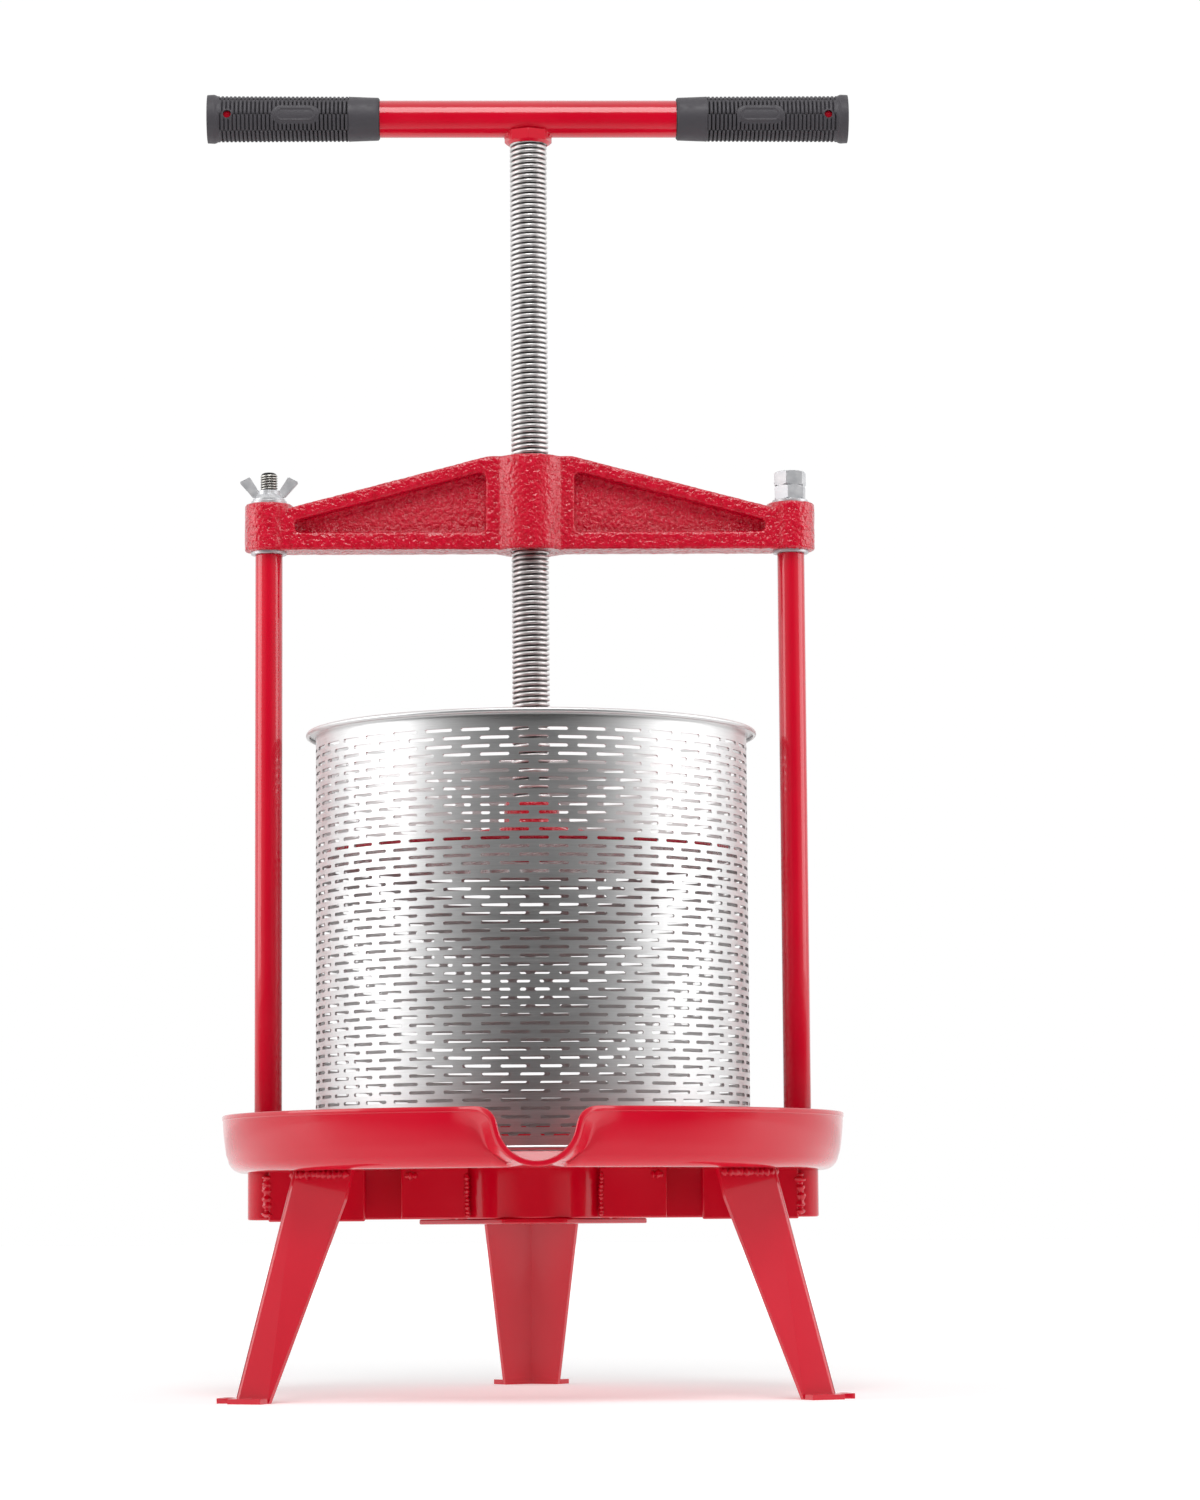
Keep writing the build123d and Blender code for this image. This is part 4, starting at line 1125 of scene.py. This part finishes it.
def make_grip(side, sign):
    node = "grip_" + side
    lo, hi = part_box(node)
    length = hi.x - lo.x
    start = lo.x if sign > 0 else hi.x
    mesh = grip_skin(node + "_moulding", start, sign, length)
    edit = bmesh.new()
    edit.from_mesh(mesh)
    loose = [vertex for vertex in edit.verts if not vertex.link_faces]
    bmesh.ops.delete(edit, geom=loose, context="VERTS")
    inner, outer, hole = open_edges(edit, start, length)
    drop_to_tube(edit, hole)
    drop_to_tube(edit, inner)
    close_end(edit, outer)
    bmesh.ops.recalc_face_normals(edit, faces=edit.faces)
    edit.to_mesh(mesh)
    edit.free()
    add_piece(node + "_moulding", mesh, "screw_and_handle", RUBBER, [node], sharp=60)


def make_handle_tube():
    inner = TUBE_R - TUBE_WALL
    end = handle_hi.x
    profile = [(inner, -end), (TUBE_R - TUBE_EDGE, -end), (TUBE_R, -end + TUBE_EDGE)]
    profile += [(TUBE_R, -end + (2 * end) * k / 24) for k in range(1, 24)]
    profile += [(TUBE_R, end - TUBE_EDGE), (TUBE_R - TUBE_EDGE, end), (inner, end)]
    tube = turned("handle_tube", profile, 96, axis="X", centre=(0, 0, HANDLE_Z))
    add_piece("handle_tube", tube, "screw_and_handle", RED, ["handle_bar"])


for side, sign in SIDES:
    make_grip(side, sign)
make_handle_tube()


# -------- weld beads
WELD_STEP = 0.45 * MM
WELD_WANDER = 0.55 * MM
RIPPLE_SHARE = 0.22  # of the bead's radius
UNEVEN_SHARE = 0.5
WELD_TOP = tray_lo.z + 0.3 * MM
LEG_FOLD_R = 157 * MM
LEG_ANGLES = {"front_left": 210, "front_right": 330, "rear": 90}
FLANGE_TURN = 55  # degrees from a leg's middle to each of its flanges


def place_along(path, distance):
    """The point at a distance along a line of points."""
    for a, b in zip(path, path[1:]):
        piece = (b - a).length
        if distance <= piece or b is path[-1]:
            return a.lerp(b, min(distance / piece, 1))
        distance -= piece


def weld(name, path, radius, body, ripple, seed):
    """A rippled, slightly wandering weld bead along a line of points."""
    length = sum((b - a).length for a, b in zip(path, path[1:]))
    count = max(int(length / WELD_STEP), 4)
    line, radii = [], []
    for i in range(count + 1):
        s = length * i / count
        wander = noise.noise_vector(Vector((s / (5 * MM), seed, 0.5))) * WELD_WANDER
        uneven = noise.noise(Vector((s / (3.1 * MM), seed, 9)))
        lump = 1 + RIPPLE_SHARE * math.sin(math.tau * s / ripple) + UNEVEN_SHARE * uneven
        taper = min(1, 0.45 + min(i, count - i) * 0.2)
        line.append(place_along(path, s) + wander)
        radii.append(radius * lump * taper)
    add_piece(name, tube_along(name, line, radii), body, RED)


def weld_leg(leg, angle):
    """The seams between the tray and a leg's two flanges."""
    outward = Vector((math.cos(math.radians(angle)), math.sin(math.radians(angle)), 0))
    fold = outward * LEG_FOLD_R + Vector((0, 0, WELD_TOP - 2.2 * MM))
    for k, turn in enumerate((FLANGE_TURN, -FLANGE_TURN)):
        flange = Matrix.Rotation(math.radians(turn), 3, "Z") @ -outward
        normal = Matrix.Rotation(math.radians(-90 if turn > 0 else 90), 3, "Z") @ flange
        shift = normal * 0.4 * MM
        path = [fold + flange * 2 * MM + shift, fold + flange * 36 * MM + shift]
        weld(f"weld_leg_{leg}_{k + 1}", path, 2.3 * MM, "press_frame", 3.4 * MM, angle + turn)


def weld_frame(side, sign):
    """The seams at the doubler's outer end and the gusset's inner end, and a tack under the tray."""
    doubler_lo, doubler_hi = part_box("doubler_" + side)
    x = sign * (max(abs(doubler_lo.x), abs(doubler_hi.x)) + 1.0 * MM)
    y = doubler_hi.y - 1.6 * MM
    seam = [Vector((x, y, HUB_BOTTOM + 1.5 * MM)), Vector((x, y, WELD_TOP - 1.5 * MM))]
    weld("weld_socket_" + side, seam, 2.6 * MM, "press_frame", 4.6 * MM, 40 + sign)
    gusset_lo, gusset_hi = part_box("gusset_" + side)
    inner_x, outer_x = sorted((abs(gusset_lo.x), abs(gusset_hi.x)))
    x = sign * (inner_x + 0.8 * MM)
    y = gusset_lo.y - 0.2 * MM
    seam = [Vector((x, y, HUB_BOTTOM + 1 * MM)), Vector((x, y, WELD_TOP - 1 * MM))]
    weld("weld_gusset_" + side, seam, 1.3 * MM, "press_frame", 2.4 * MM, 50 + sign)
    y = gusset_lo.y - 0.4 * MM
    z = WELD_TOP - 2.2 * MM
    tack = [Vector((sign * (outer_x - 9 * MM), y, z)), Vector((sign * (outer_x - 2 * MM), y, z))]
    weld("weld_tray_" + side, tack, 2.1 * MM, "press_frame", 3.0 * MM, 60 + sign)


def weld_handle():
    """A bead round the collar's top, which climbs only where the tube comes down to it."""
    saddle = []
    for k in range(33):
        a = math.tau * k / 32
        y = 9.6 * MM * math.sin(a)
        under_tube = HANDLE_Z - math.sqrt(TUBE_R ** 2 - y ** 2) + 0.4 * MM
        z = min(max(under_tube, COLLAR_TOP - 2.4 * MM), COLLAR_TOP - 1.2 * MM)
        saddle.append(Vector((12.6 * MM * math.cos(a), y, z)))
    weld("weld_handle", saddle, 1.5 * MM, "screw_and_handle", 3.0 * MM, 70)


for leg, angle in LEG_ANGLES.items():
    weld_leg(leg, angle)
for side, sign in SIDES:
    weld_frame(side, sign)
weld_handle()
